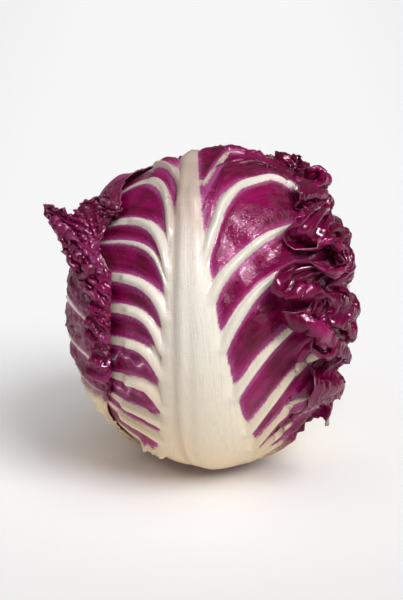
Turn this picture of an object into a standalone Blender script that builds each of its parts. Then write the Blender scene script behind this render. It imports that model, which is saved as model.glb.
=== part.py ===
"""A head of radicchio, the round red chicory, standing on its cut stem.

The head is a ball of leaves. The stem's stub and the dense heart are one node each, and round them lie
four wrapper leaves, each one thin shell with raised ribs, a clasping base and a waved, toothed margin.

Every leaf is laid out in its own chart of the ball. alpha runs from the stem over the leaf's face to a
far pole that leans past the crown, and beta runs round that axis, with the midrib at beta 0. A lift over
the ball turns a chart point into a place. Metres, degrees, +Z up, the leaf at azimuth 0 faces -Y.
"""
import math
from dataclasses import dataclass

import bmesh
import bpy
import numpy as np

# The ball that the wrapper leaves lie on
HEAD_RADIUS = 0.0560
CROWN_RISE = 0.0582
BASE_DROP = 0.0680
CENTRE_HEIGHT = 0.0665

# The stub that is left of the stem
STEM_FOOT_RADIUS = 0.0172
STEM_HEIGHT = 0.0062
STEM_CHAMFER = 0.0008

# Leaves: thickness, the gap between two layers, and how far the ribs stand out
BLADE = 0.0012
LAYER_GAP = 0.0007
MIDRIB_RELIEF = 0.0034
VEIN_RELIEF = 0.0024
BASE_CLEARANCE = 0.0045

# How far outside a leaf's margin, in degrees of arc, the next leaf comes down again and its ribs stand out
LIFT_FADE = (4.5, 15.0)
RELIEF_FADE = (3.8, 9.0)

# Grid lines of a leaf: rows beside each vein's crest, and columns at shares of the midrib's half width
RIB_ROWS = (0.0, 0.17, 0.5, 0.83)
MIDRIB_COLUMNS = (0.5, 0.88, 1.15)
COLUMN_SPREAD = 1.25

# A leaf's outline, in degrees: how much its tip is rounded and how deep its margin is toothed
TIP_ROUNDING = 16.0
TOOTH_DEPTH = 2.6

# A margin that is turned back: its roll's radius, the steps of the roll and of the strip, the furthest
# that it turns, and how far it stands off first
HEM_BEND = 0.0026
HEM_BEND_STEPS = 4
HEM_STEPS = 5
HEM_MOST = math.radians(172.0)
HEM_LIFT = 0.0014

# The heart inside the wrapper leaves
HEART_GAP = 0.0006
HEART_LEAVES = 7
HEART_STEP = 0.0020

# A leaf's two sides, seen from outside with its base down
LEFT_SIDE, RIGHT_SIDE = -1.0, 1.0

# Where, in degrees from the midrib, the law of how veins leave it gives way to that of how they end
NEAR_MARGIN = (28.0, 54.0)


@dataclass
class Leaf:
    """One wrapper leaf: where it stands, how far it reaches and what its margins do.

    azimuth turns it about the head's axis, lean tips its far pole past the crown, tip is alpha at its end.
    veins_left and veins_right hold alpha where each side vein leaves the midrib, from the base up, rise
    and run say how far and how fast a vein has climbed by the margin, and near_left and near_right, as
    (row, rise, run), how it leaves the midrib. level is how many rows from the tip the climb begins to
    fade, and faint holds the (side, row) of veins that don't show.
    The tables of pairs go by row, where row 0 is the base and every vein has the next whole number: how
    far the leaf spans in beta, the midrib's half width and middle in beta, and the length and angle of a
    margin that is turned back. wave_ lengths are how far a free margin stands up, and hug is how closely
    the strip follows the ball.
    """

    name: str
    azimuth: float
    lean: float
    tip: float
    veins_left: tuple
    veins_right: tuple
    rise: tuple = (16.0, 20.0)
    run: tuple = (7.0, 11.0)
    near_left: tuple = ()
    near_right: tuple = ()
    level: float = 2.5
    faint: tuple = ()
    span_left: tuple = ()
    span_right: tuple = ()
    midrib: tuple = ((0, 30.0), (1, 22.0), (3, 13.0), (5, 8.0), (8, 4.0))
    middle: tuple = ((0, 0.0), (8, 0.0))
    wave_left: float = 0.0
    wave_right: float = 0.0
    wave_tip: float = 0.0
    hem: tuple = ()
    hem_angle: tuple = ()
    hem_wave: float = 0.0
    hug: tuple = ((0, 0.0), (12, 0.0))
    columns: int = 28
    colour: tuple = (0.30, 0.01, 0.11, 1.0)
    seed: int = 0

    @property
    def last(self):
        """The row at the tip: row 0 is the base and each vein has a whole row of its own."""
        return len(self.veins_left) + 1


FRONT = Leaf(
    "front_leaf", azimuth=-6.0, lean=35.0, tip=163.0,
    veins_left=(38.0, 45.0, 52.0, 58.0, 69.0, 75.0, 84.0, 98.0, 109.0, 128.0),
    veins_right=(29.0, 35.0, 42.0, 50.0, 63.0, 76.0, 91.5, 104.0, 113.0, 121.0),
    rise=(14.0, 23.0), run=(6.0, 12.0),
    near_left=((0, 0.0, 10.0), (1, 3.0, 10.0), (2, 8.0, 8.0), (3, 7.0, 8.0), (4, 8.0, 2.5), (5, 8.0, 3.0),
               (6, 11.0, 3.5), (7, 11.0, 5.0), (8, 16.5, 5.0), (9, 22.0, 6.0), (10, 12.0, 8.0),
               (11, 2.0, 8.0)),
    near_right=((0, 0.0, 14.0), (1, 12.0, 14.0), (2, 20.0, 12.0), (3, 22.0, 6.5), (4, 40.0, 20.0),
                (5, 36.0, 22.0), (6, 26.0, 10.0), (7, 27.0, 17.0), (8, 30.0, 8.0), (9, 28.0, 5.0),
                (10, 26.0, 3.5), (11, 2.0, 8.0)),
    level=1.0, faint=((RIGHT_SIDE, 9),),
    span_left=((0, 60.0), (2, 58.0), (5, 61.0), (11, 58.0)),
    span_right=((0, 50.0), (2, 53.0), (3, 52.0), (4.5, 52.0), (6.3, 53.0), (7.3, 57.0), (8.5, 62.0),
                (11, 58.0)),
    midrib=((0, 36.0), (1, 32.0), (3, 22.0), (4, 15.5), (5, 11.0), (6, 8.5), (7, 6.5), (8, 5.8), (10, 5.0),
            (11, 6.0)),
    middle=((0, 4.0), (3, 4.0), (4, 1.5), (5, 0.0), (6, -1.0), (7, -2.5), (8, -4.0), (9, -5.0), (10, -8.0),
            (11, -20.0)),
    wave_right=0.0025, wave_tip=0.0040,
    hem=((0, 0.0), (1.6, 0.002), (2.2, 0.008), (2.7, 0.016), (3.1, 0.012), (3.5, 0.020), (3.9, 0.024),
         (4.2, 0.020), (4.5, 0.034), (4.9, 0.044), (5.5, 0.044), (5.85, 0.032), (6.15, 0.012), (6.5, 0.024),
         (6.9, 0.035), (7.4, 0.034), (7.9, 0.022), (8.6, 0.008), (10, 0.001)),
    hem_angle=((0, 40.0), (2.0, 120.0), (2.8, 166.0), (8.6, 166.0), (9.3, 110.0), (10, 60.0)),
    hem_wave=0.50, hug=((0, 1.0), (12, 1.0)), columns=28, seed=3,
)
LEFT = Leaf(
    "left_leaf", azimuth=-112.0, lean=22.0, tip=131.0,
    veins_left=(34.0, 45.0, 56.0, 68.0, 81.0, 95.0, 109.0),
    veins_right=(34.0, 45.0, 56.0, 68.0, 81.0, 94.0, 106.0),
    span_left=((0, 44.0), (3, 48.0), (8, 46.0)),
    span_right=((0, 26.0), (1, 46.0), (2, 58.0), (3, 61.0), (4, 60.0), (5, 56.0), (6, 48.0), (7, 37.0),
                (8, 30.0)),
    midrib=((0, 30.0), (1, 22.0), (3, 13.0), (5, 7.0), (7, 4.0), (8, 2.0)),
    wave_left=0.0020, wave_tip=0.0015,
    hem=((0, 0.0), (1.4, 0.002), (2.4, 0.008), (4.2, 0.010), (4.8, 0.014), (5.2, 0.023), (5.8, 0.029),
         (6.2, 0.026), (6.6, 0.016), (7.0, 0.012), (7.4, 0.007), (8, 0.001)),
    hem_angle=((0, 60.0), (2.4, 162.0), (5.0, 166.0), (5.8, 158.0), (6.4, 152.0), (7.0, 130.0), (8, 60.0)),
    hem_wave=0.45, hug=((0, 1.0), (4.6, 1.0), (5.4, 0.0), (8, 0.0)), columns=22, seed=11,
)
RIGHT = Leaf(
    "right_leaf", azimuth=106.0, lean=24.0, tip=146.0,
    veins_left=(36.0, 47.0, 60.0, 75.0, 91.0, 108.0, 126.0),
    veins_right=(34.0, 45.0, 57.0, 71.0, 87.0, 104.0, 123.0),
    span_left=((0, 40.0), (8, 54.0)),
    span_right=((0, 46.0), (8, 52.0)),
    wave_right=0.0050, wave_tip=0.0020, columns=18, seed=23,
)
BACK = Leaf(
    "back_leaf", azimuth=181.0, lean=20.0, tip=148.0,
    veins_left=(36.0, 48.0, 61.0, 76.0, 92.0, 109.0, 127.0),
    veins_right=(34.0, 46.0, 59.0, 73.0, 89.0, 106.0, 125.0),
    span_left=((0, 46.0), (8, 58.0)),
    span_right=((0, 46.0), (8, 58.0)),
    wave_tip=0.0012, columns=18, seed=31,
)

# From the innermost leaf to the outermost, each one lying on those before it
LEAVES = (BACK, RIGHT, FRONT, LEFT)


def smooth(low, high, x):
    """0 up to low and 1 from high on, with a soft start and end."""
    u = np.clip((np.asarray(x, float) - low) / (high - low), 0.0, 1.0)
    return u * u * (3.0 - 2.0 * u)


def by_row(table, row):
    """A value that a few (row, value) pairs give, straight between them."""
    rows, values = zip(*table)
    return np.interp(row, rows, values)


def row_alpha(leaf, veins, row):
    """alpha of a row at the midrib: the base, then the veins where they leave the midrib, then the tip."""
    return np.interp(row, range(leaf.last + 1), (base_alpha(), *veins, leaf.tip))


def base_alpha():
    """alpha of the leaves' cut base, which stays clear of what the head stands on."""
    return math.degrees(math.acos((CENTRE_HEIGHT - BASE_CLEARANCE) / BASE_DROP))


def climbs(leaf, row, beta):
    """How far a row rises from the midrib to beta, on the left and on the right.

    Like a vein it climbs at first and then levels out. The rows at the base and the tip stay level.
    """
    rises = smooth(0.0, 1.6, row) * np.clip((leaf.last - row) / leaf.level, 0.0, 1.0)
    away = np.clip(np.abs(beta) - 4.0, 0.0, None)
    far = [rises * rise * (1.0 - np.exp(-away / run)) for rise, run in zip(leaf.rise, leaf.run)]
    if not leaf.near_left:
        return far
    near = [near_climb(leaf, side, table, row, beta)
            for side, table in ((LEFT_SIDE, leaf.near_left), (RIGHT_SIDE, leaf.near_right))]
    share = smooth(*NEAR_MARGIN, np.abs(beta))
    return [first * (1.0 - share) + last * share for first, last in zip(near, far)]


def near_climb(leaf, side, table, row, beta):
    """How far a row rises from the midrib's edge to beta: rise (1 - exp(-away / run)), by its own table."""
    rows, rises, runs = zip(*table)
    edge = 0.9 * by_row(leaf.midrib, row) + side * by_row(leaf.middle, row)
    away = np.clip(side * beta - np.maximum(edge, 0.0), 0.0, None)
    return np.interp(row, rows, rises) * (1.0 - np.exp(-away / np.interp(row, rows, runs)))


def chart_alpha(leaf, row, beta):
    """alpha at a row and beta, blended from the left side to the right across the midrib."""
    left_climb, right_climb = climbs(leaf, row, beta)
    left = row_alpha(leaf, leaf.veins_left, row) + left_climb
    right = row_alpha(leaf, leaf.veins_right, row) + right_climb
    share = smooth(-8.0, 8.0, beta)
    near_tip = np.clip(1.0 - (leaf.last - row) / leaf.level, 0.0, 1.0)
    rounding = TIP_ROUNDING * near_tip * (np.abs(beta) / 60.0) ** 2
    return left * (1.0 - share) + right * share - rounding


def direction(leaf, alpha, beta):
    """Unit vectors from the ball's centre: a Moebius map leans the chart's far pole back past the crown."""
    w = np.tan(np.radians(alpha) / 2.0) * np.exp(1j * np.radians(beta))
    a, b = w, 1.0 - w * math.tan(math.radians(leaf.lean) / 2.0)
    cross, size = a * np.conj(b), np.abs(a) ** 2 + np.abs(b) ** 2
    ahead, aside = 2.0 * cross.real / size, 2.0 * cross.imag / size
    up = (np.abs(a) ** 2 - np.abs(b) ** 2) / size
    turn = math.radians(leaf.azimuth)
    return np.stack((ahead * math.sin(turn) + aside * math.cos(turn),
                     aside * math.sin(turn) - ahead * math.cos(turn), up), axis=-1)


def chart_of(leaf, d):
    """(alpha, beta) of unit vectors in a leaf's chart, the inverse of direction()."""
    turn = math.radians(leaf.azimuth)
    ahead = d[..., 0] * math.sin(turn) - d[..., 1] * math.cos(turn)
    aside = d[..., 0] * math.cos(turn) + d[..., 1] * math.sin(turn)
    z = ahead + 1j * aside
    b = 1.0 - d[..., 2]
    w = z / (b + z * math.tan(math.radians(leaf.lean) / 2.0) + 1e-12)
    return np.degrees(2.0 * np.arctan(np.abs(w))), np.degrees(np.angle(w))


def on_ball(d, lift):
    """The place that lies lift above the ball in direction d."""
    rise = np.where(d[..., 2] > 0.0, CROWN_RISE, BASE_DROP)
    radii = np.stack((HEAD_RADIUS + lift, HEAD_RADIUS + lift, rise + lift), axis=-1)
    return d * radii + np.array((0.0, 0.0, CENTRE_HEIGHT))


def chart_row(leaf, alpha, beta):
    """The row through a chart point, found in a few rounds."""
    levels = range(leaf.last + 1)
    left, right = ((base_alpha(), *veins, leaf.tip) for veins in (leaf.veins_left, leaf.veins_right))
    row = np.interp(alpha, right, levels)
    for _ in range(5):
        climb = climbs(leaf, row, beta)
        row = np.where(beta < 0.0, np.interp(alpha - climb[0], left, levels),
                       np.interp(alpha - climb[1], right, levels))
    return row


def beyond_margin(leaf, d):
    """How far, in degrees of arc, directions d lie outside a leaf's margin."""
    alpha, beta = chart_of(leaf, d)
    row = chart_row(leaf, alpha, beta)
    span = np.where(beta < 0.0, by_row(leaf.span_left, row), by_row(leaf.span_right, row))
    aside = (np.abs(beta) - span) * np.sin(np.radians(alpha))
    return np.maximum(np.maximum(aside, alpha - leaf.tip), 0.0)


def cover(leaf, d, fade=LIFT_FADE):
    """1 where a leaf lies, fading to 0 a little way outside its margin."""
    return 1.0 - smooth(*fade, beyond_margin(leaf, d))


def resting_lift(leaf, d):
    """The height over the ball at which a leaf lies on those below it."""
    below = LEAVES[:LEAVES.index(leaf)]
    return sum((BLADE + LAYER_GAP) * cover(other, d) for other in below) + np.zeros(d.shape[:-1])


def hidden(leaf, d):
    """1 where a later leaf lies over this one."""
    none = np.zeros(d.shape[:-1])
    above = LEAVES[LEAVES.index(leaf) + 1:]
    return np.max([none, *(cover(other, d, RELIEF_FADE) for other in above)], axis=0)


def leaf_rows(leaf):
    """The rows of a leaf's grid, several to a vein, with its crest on the whole number."""
    rows = [vein + share for vein in range(1, leaf.last) for share in RIB_ROWS]
    return np.array([0.0, 0.4, 0.8, *rows, leaf.last])


def uneven(values, seed):
    """A fixed number from -1 to 1 for each value, with no pattern from one to the next."""
    mixed = np.sin(np.asarray(values, float) * 12.9898 + seed * 78.233) * 43758.5453
    return 2.0 * (mixed - np.floor(mixed)) - 1.0


def ripple(leaf, row, beta):
    """A wave from 0 to 1 along the margin, of two lengths so that no two folds are alike."""
    wave = np.sin(row * 3.6 + leaf.seed) + 0.6 * np.sin(row * 6.7 + beta * 0.11 + 2.0 * leaf.seed)
    return 0.5 + 0.5 * np.clip(wave / 1.3, -1.0, 1.0)


def leaf_columns(leaf, rows):
    """beta of the grid's columns: lines on the midrib's crest, shoulders and feet, then steps that widen."""
    halves = []
    middle = by_row(leaf.middle, rows)[:, None]
    half = by_row(leaf.midrib, rows)[:, None] * np.array(MIDRIB_COLUMNS)[None, :]
    for side, span in ((LEFT_SIDE, leaf.span_left), (RIGHT_SIDE, leaf.span_right)):
        rib = half + side * middle
        share = np.linspace(0.0, 1.0, leaf.columns // 2 - len(MIDRIB_COLUMNS) + 1)[None, 1:] ** COLUMN_SPREAD
        halves.append(np.hstack((rib, rib[:, -1:] + share * (by_row(span, rows)[:, None] - rib[:, -1:]))))
    return np.hstack((-halves[0][:, ::-1], middle, halves[1]))


def leaf_grid(leaf):
    """Places and rib weights of a leaf's inner face, one for each row and column."""
    rows = leaf_rows(leaf)
    beta = leaf_columns(leaf, rows)
    row = rows[:, None] + 0.0 * beta
    t = beta / np.where(beta < 0.0, -beta[:, :1], beta[:, -1:])
    free = 1.0 - hidden(leaf, direction(leaf, chart_alpha(leaf, row, beta), beta))
    tooth = (uneven(rows, leaf.seed) - 1.0)[:, None] * smooth(0.7, 1.0, np.abs(t)) * free
    beta = beta + np.sign(t) * tooth * TOOTH_DEPTH
    d = direction(leaf, chart_alpha(leaf, row, beta), beta)
    lift = resting_lift(leaf, d)
    lift = lift + margin_wave(leaf, row, beta, t) * (1.0 - hidden(leaf, d))
    points = on_ball(d, lift)
    if leaf.hem:
        points = with_hem(leaf, rows, on_ball(d, lift + hem_lift(leaf, row, t)))
    return points, rib_weight(leaf, rows, beta, d, points.shape[1])


def margin_wave(leaf, row, beta, t):
    """How far the free margins stand up from the head."""
    reach = np.where(t < 0.0, leaf.wave_left, leaf.wave_right) * smooth(0.45, 1.0, np.abs(t))
    tip = leaf.wave_tip * smooth(leaf.last - 1.8, leaf.last, row)
    low = smooth(1.0, 3.0, row)
    return low * np.maximum(reach, tip) * ripple(leaf, row, beta)


def hem_lift(leaf, row, t):
    """How far the margin stands up where it begins to turn back."""
    return HEM_LIFT * smooth(0.80, 1.0, t) * smooth(0.002, 0.006, by_row(leaf.hem, row))


def with_hem(leaf, rows, points):
    """The grid with its right margin rolled outwards over itself and laid back as a free, waved strip."""
    edge = points[:, -1]
    along = edge - points[:, -3]
    along /= np.linalg.norm(along, axis=1)[:, None]
    out = edge - np.array((0.0, 0.0, CENTRE_HEIGHT))
    out -= along * np.sum(along * out, axis=1)[:, None]
    out /= np.linalg.norm(out, axis=1)[:, None]
    length, final = by_row(leaf.hem, rows), np.radians(by_row(leaf.hem_angle, rows))
    length = length * (1.0 + 0.22 * uneven(rows, leaf.seed + 5))
    bend = np.minimum(HEM_BEND, 0.0004 + 0.35 * length) * final
    hug = by_row(leaf.hug, rows) * length / HEAD_RADIUS
    columns, x, h = [], 0.0 * rows, 0.0 * rows
    for step in range(HEM_BEND_STEPS + HEM_STEPS):
        rolled = min((step + 0.5) / HEM_BEND_STEPS, 1.0)
        laid = max(step + 1 - HEM_BEND_STEPS, 0) / HEM_STEPS
        wave = leaf.hem_wave * (np.sin(rows * 4.4 + leaf.seed) + 0.7 * np.sin(rows * 9.1 + 2.6 * step))
        angle = np.minimum(final * rolled + (wave - 0.10) * min(laid, 0.7), HEM_MOST) + hug * laid
        arc = bend / HEM_BEND_STEPS if laid == 0.0 else length / HEM_STEPS
        x, h = x + np.cos(angle) * (arc + 0.0003), h + np.sin(angle) * (arc + 0.0003)
        columns.append(edge + along * x[:, None] + out * h[:, None])
    return np.concatenate((points, np.stack(columns, axis=1)), axis=1)


def rib_weight(leaf, rows, beta, d, columns):
    """How thick each point of the leaf is, from 0 on the blade to 1 on the midrib's crest at the base."""
    along, height = (rows / leaf.last)[:, None], VEIN_RELIEF / MIDRIB_RELIEF
    half, middle = by_row(leaf.midrib, rows)[:, None], by_row(leaf.middle, rows)[:, None]
    midrib = (1.0 - smooth(0.9, MIDRIB_COLUMNS[-1], np.abs(beta - middle) / half)) * (1.0 - 0.45 * along)
    crest = (np.abs(rows - np.round(rows)) < 0.01) & (rows > 0.9) & (rows < leaf.last - 0.9)
    shown = crest[:, None] & ~np.any([(np.sign(beta) == side) & (np.round(rows) == row)[:, None]
                                      for side, row in leaf.faint or ((0.0, 0),)], axis=0)
    vein = shown * np.clip(1.0 - np.abs(beta) / 70.0, 0.0, 1.0) ** 0.7
    weight = np.maximum(midrib, vein * height)
    weight = weight * (1.0 - hidden(leaf, d)) * smooth(0.0, 1.0, rows)[:, None] ** 0.5
    return np.pad(weight, ((0, 0), (0, columns - weight.shape[1])))


def material(name, colour, roughness):
    """A plain Principled finish."""
    made = bpy.data.materials.new(name)
    made.use_nodes = True
    shader = made.node_tree.nodes["Principled BSDF"]
    shader.inputs["Base Color"].default_value = colour
    shader.inputs["Roughness"].default_value = roughness
    shader.inputs["Metallic"].default_value = 0.0
    return made


def new_object(name, bm, home, finish):
    """An object of its own for one piece, made from a bmesh."""
    mesh = bpy.data.meshes.new(name)
    bm.to_mesh(mesh)
    bm.free()
    mesh.shade_smooth()
    piece = bpy.data.objects.new(name, mesh)
    piece.data.materials.append(finish)
    home.objects.link(piece)
    return piece


def add_leaf(leaf, home, finish):
    """A leaf: a grid shaped by its chart, split into triangles, and given its thickness outwards."""
    points, weight = leaf_grid(leaf)
    row_count, column_count = weight.shape
    bm = bmesh.new()
    bmesh.ops.create_grid(bm, x_segments=column_count - 1, y_segments=row_count - 1, size=1.0)
    steps = ((row_count - 1) / 2.0, (column_count - 1) / 2.0)
    cells = [(round((vert.co.y + 1.0) * steps[0]), round((vert.co.x + 1.0) * steps[1])) for vert in bm.verts]
    for vert, cell in zip(bm.verts, cells):
        vert.co = points[cell]
    bmesh.ops.triangulate(bm, faces=bm.faces[:], quad_method="ALTERNATE")
    piece = new_object(leaf.name, bm, home, finish)
    ribs = piece.vertex_groups.new(name="ribs")
    for vertex, cell in enumerate(cells):
        ribs.add([vertex], float(weight[cell]), "REPLACE")
    shell = piece.modifiers.new("thickness", "SOLIDIFY")
    shell.thickness = BLADE + MIDRIB_RELIEF
    shell.offset = 1.0
    shell.vertex_group = ribs.name
    shell.thickness_vertex_group = BLADE / (BLADE + MIDRIB_RELIEF)
    return piece


def add_stem(home, finish):
    """The stub of the stem: a turned disc with a flat cut foot, flared to meet the leaves' bases."""
    top = base_alpha() + 1.5
    shoulder = HEAD_RADIUS * math.sin(math.radians(top)) - 5.0 * HEART_GAP
    profile = (
        (0.0, STEM_HEIGHT), (shoulder - STEM_CHAMFER, STEM_HEIGHT), (shoulder, STEM_HEIGHT - STEM_CHAMFER),
        (STEM_FOOT_RADIUS + STEM_CHAMFER, 2.0 * STEM_CHAMFER), (STEM_FOOT_RADIUS, 0.0), (0.0, 0.0),
    )
    bm = bmesh.new()
    ring = [bm.verts.new((radius, 0.0, height)) for radius, height in profile]
    for first, second in zip(ring, ring[1:]):
        bm.edges.new((first, second))
    piece = new_object("cut_stem", bm, home, finish)
    turn = piece.modifiers.new("turn", "SCREW")
    turn.steps = 40
    turn.render_steps = 40
    turn.use_merge_vertices = True
    turn.merge_threshold = 0.0001
    return piece


def heart_lift(d):
    """The heart's surface under the ball: inner leaves overlap round it, each a low step over the next."""
    around = np.arctan2(d[..., 1], d[..., 0]) / (2.0 * math.pi) + 0.10 * d[..., 2]
    step = np.mod(around * HEART_LEAVES, 1.0)
    shape = step * smooth(0.0, 0.12, 1.0 - step) * np.sqrt(1.0 - np.clip(d[..., 2] ** 2, 0.0, 1.0))
    return -HEART_GAP - HEART_STEP * (1.0 - shape)


def add_heart(home, finish):
    """The dense heart of inner leaves, a ball with a flat seat on the stem."""
    bm = bmesh.new()
    bmesh.ops.create_uvsphere(bm, u_segments=42, v_segments=20, radius=1.0)
    places = np.array([vert.co for vert in bm.verts])
    d = places / np.linalg.norm(places, axis=1)[:, None]
    places = on_ball(d, heart_lift(d))
    places[:, 2] = np.maximum(places[:, 2], STEM_HEIGHT + HEART_GAP)
    for vert, place in zip(bm.verts, places):
        vert.co = place
    return new_object("heart", bm, home, finish)


def main():
    for old in list(bpy.data.objects):
        bpy.data.objects.remove(old, do_unlink=True)
    head = bpy.data.collections.new("radicchio_head")
    bpy.context.scene.collection.children.link(head)
    add_stem(head, material("cut_stem", (0.36, 0.25, 0.15, 1.0), 0.8))
    add_heart(head, material("heart", (0.32, 0.03, 0.13, 1.0), 0.5))
    for leaf in LEAVES:
        add_leaf(leaf, head, material(leaf.name, leaf.colour, 0.35))


main()
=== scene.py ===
"""The looks of a head of radicchio, with white ribs and crumpled wine-red blades, and its studio."""
import logging
import math
from dataclasses import dataclass
from enum import Enum

import bmesh
import bpy
import numpy as np
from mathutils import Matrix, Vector


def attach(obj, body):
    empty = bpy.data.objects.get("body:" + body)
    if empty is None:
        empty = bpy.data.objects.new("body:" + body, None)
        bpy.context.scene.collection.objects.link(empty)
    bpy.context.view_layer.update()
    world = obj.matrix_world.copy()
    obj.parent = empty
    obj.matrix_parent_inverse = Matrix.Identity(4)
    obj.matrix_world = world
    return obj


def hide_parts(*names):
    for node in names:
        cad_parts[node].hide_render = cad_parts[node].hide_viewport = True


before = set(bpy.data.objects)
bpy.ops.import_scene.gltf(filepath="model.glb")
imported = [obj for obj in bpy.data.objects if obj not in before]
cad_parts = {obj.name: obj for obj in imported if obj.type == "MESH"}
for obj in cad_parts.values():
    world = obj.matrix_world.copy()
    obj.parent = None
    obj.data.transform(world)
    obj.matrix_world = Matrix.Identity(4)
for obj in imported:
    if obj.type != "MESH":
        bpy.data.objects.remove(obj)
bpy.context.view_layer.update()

log = logging.getLogger("radicchio")
Pairs = tuple[tuple[float, float], ...]
Triples = tuple[tuple[float, float, float], ...]
Grids = dict[str, np.ndarray]
Colour = tuple[float, float, float]
MM = 0.001
# Odd factors without a meaning of their own, for jitter()
ODD_VALUE, ODD_SEED, ODD_SPREAD = 12.9898, 78.233, 43758.5453


class Side(Enum):
    """The two sides of a leaf, seen from outside with its base down."""

    LEFT = -1
    RIGHT = 1


class Face(Enum):
    """The two faces of a leaf: the one towards the heart is glossy, the outer one carries the ribs."""

    INNER = 0.0
    OUTER = 1.0


# Numbers as whole arrays.


def smooth(low: float, high: float, x: np.ndarray) -> np.ndarray:
    """A ramp from 0 to 1 with soft ends: 3u^2 - 2u^3 of the clipped share u of the way.

    Args:
        low: where the ramp is 0.
        high: where it is 1.
        x: the values.

    Returns:
        The ramp at x.
    """
    u = np.clip((np.asarray(x, float) - low) / (high - low), 0.0, 1.0)
    return u * u * (3.0 - 2.0 * u)


def look_up(table: Pairs, x: np.ndarray) -> np.ndarray:
    """Straight lines between the pairs of a table, its corners rounded by averaging over a short stretch.

    Args:
        table: (place, value) pairs in rising order.
        x: the places.

    Returns:
        The value at each place.
    """
    places, values = zip(*table)
    reach = 0.035 * (places[-1] - places[0])
    steps = (-1.0, -0.5, 0.0, 0.5, 1.0)
    return sum(np.interp(x + reach * step, places, values) for step in steps) / len(steps)


def jitter(values: np.ndarray, seed: float) -> np.ndarray:
    """A fixed odd number from -1 to 1 for each value: the fraction of a large multiple of a sine."""
    mixed = np.sin(np.asarray(values, float) * ODD_VALUE + seed * ODD_SEED) * ODD_SPREAD
    return 2.0 * (mixed - np.floor(mixed)) - 1.0


def swell(points: np.ndarray, length: float, seed: int, octaves: int = 2) -> np.ndarray:
    """Smooth unevenness from about -1 to 1: sine waves in fixed odd directions, each octave half as long.

    Args:
        points: places, or any coordinates, in the last axis.
        length: the longest wave's length, in the points' unit.
        seed: picks the directions and phases.
        octaves: how many times the waves are halved.

    Returns:
        One value for each point.
    """
    rng = np.random.default_rng(seed)
    total, size = np.zeros(points.shape[:-1]), 0.0
    for octave in range(octaves):
        scale = 2.0 * math.pi * 2.0 ** octave / length
        for _ in range(5):
            axis = rng.normal(size=points.shape[-1])
            axis /= np.linalg.norm(axis)
            phase = rng.uniform(0.0, 2.0 * math.pi)
            total = total + 0.5 ** octave * np.sin(scale * (points @ axis) + phase + 0.6 * total)
        size += 2.6 * 0.5 ** octave
    return total / size


def cells(flat: np.ndarray, size: float, seed: float) -> np.ndarray:
    """How far each point lies from the nearest border between cells round scattered seeds.

    The plane is cut into squares with one seed at an odd place in each. The result is the distance to the
    second nearest seed less that to the nearest, over the 3 by 3 squares round the point, halved.

    Args:
        flat: places in the plane, two numbers each.
        size: the squares' side, in the same unit.
        seed: shuffles the seeds.

    Returns:
        The distance for each point, in the same unit.
    """
    scaled = flat / size
    home = np.floor(scaled)
    nearest = np.full(flat.shape[:-1], 9.0)
    second = nearest.copy()
    for dx in (-1.0, 0.0, 1.0):
        for dy in (-1.0, 0.0, 1.0):
            square = home + (dx, dy)
            code = square[..., 0] * 7.31 + square[..., 1] * 13.17
            spot = np.stack((jitter(code, seed), jitter(code, seed + 3.7)), axis=-1) * 0.40 + 0.5
            away = np.linalg.norm(square + spot - scaled, axis=-1)
            second = np.minimum(second, np.maximum(away, nearest))
            nearest = np.minimum(nearest, away)
    return 0.5 * (second - nearest) * size


def refine(values: np.ndarray, rows: int, columns: int) -> np.ndarray:
    """A coarse grid carried onto a finer one over the same range, by Catmull-Rom curves each way.

    Args:
        values: the coarse grid, with any further axes behind its two.
        rows: how many rows the fine grid has.
        columns: how many columns.

    Returns:
        The fine grid.
    """
    for axis, count in ((0, rows), (1, columns)):
        last = values.shape[axis] - 1
        at = np.linspace(0.0, last, count)
        i = np.minimum(at.astype(int), last - 1)
        u = (at - i).reshape([-1 if a == axis else 1 for a in range(values.ndim)])
        a, b, c, d = (np.take(values, np.clip(i + k, 0, last), axis=axis) for k in (-1, 0, 1, 2))
        values = b + 0.5 * u * (c - a + u * (2 * a - 5 * b + 4 * c - d + u * (3 * (b - c) + d - a)))
    return values


def unit(vectors: np.ndarray, least: float = 0.0) -> np.ndarray:
    """Vectors over their lengths, with least added to each length where one may be 0."""
    return vectors / (np.linalg.norm(vectors, axis=-1, keepdims=True) + least)


def edge_lengths(points: np.ndarray, down: int, across: int) -> np.ndarray:
    """Distances from each grid point to the one so many rows down and columns across."""
    rows, columns = points.shape[0] - down, points.shape[1] - across
    return np.linalg.norm(points[down:, across:] - points[:rows, :columns], axis=-1)


def arcs(points: np.ndarray) -> tuple[np.ndarray, np.ndarray]:
    """Arc lengths from a grid's first row, summed along its columns, and from its first column along rows."""
    up = np.pad(np.cumsum(edge_lengths(points, 1, 0), axis=0), ((1, 0), (0, 0)))
    return up, np.pad(np.cumsum(edge_lengths(points, 0, 1), axis=1), ((0, 0), (1, 0)))


def widened(values: np.ndarray, extra: int, fill: float | None = None) -> np.ndarray:
    """A grid with extra columns on its right, which hold a fill or else repeat the last column."""
    how = {"mode": "edge"} if fill is None else {"constant_values": fill}
    return np.pad(values, ((0, 0), (0, extra)), **how)


def smooth_least(a: np.ndarray, b: np.ndarray, blend: float) -> np.ndarray:
    """The smaller of two, rounded where they come within blend: a (1 - h) + b h - blend h (1 - h)."""
    h = np.clip(0.5 + 0.5 * (a - b) / blend, 0.0, 1.0)
    return a * (1.0 - h) + b * h - blend * h * (1.0 - h)


def dome(share: np.ndarray, power: float) -> np.ndarray:
    """A rib's section, 1 in its middle and 0 at its edges: (1 - share^2)^power."""
    return np.clip(1.0 - share ** 2, 0.0, 1.0) ** power


def normals_of(points: np.ndarray) -> np.ndarray:
    """Unit normals of a grid: across the product of its two central differences, outwards for a leaf."""
    return unit(np.cross(np.gradient(points, axis=1), np.gradient(points, axis=0)), 1e-12)


# The head's own coordinates.


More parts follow.
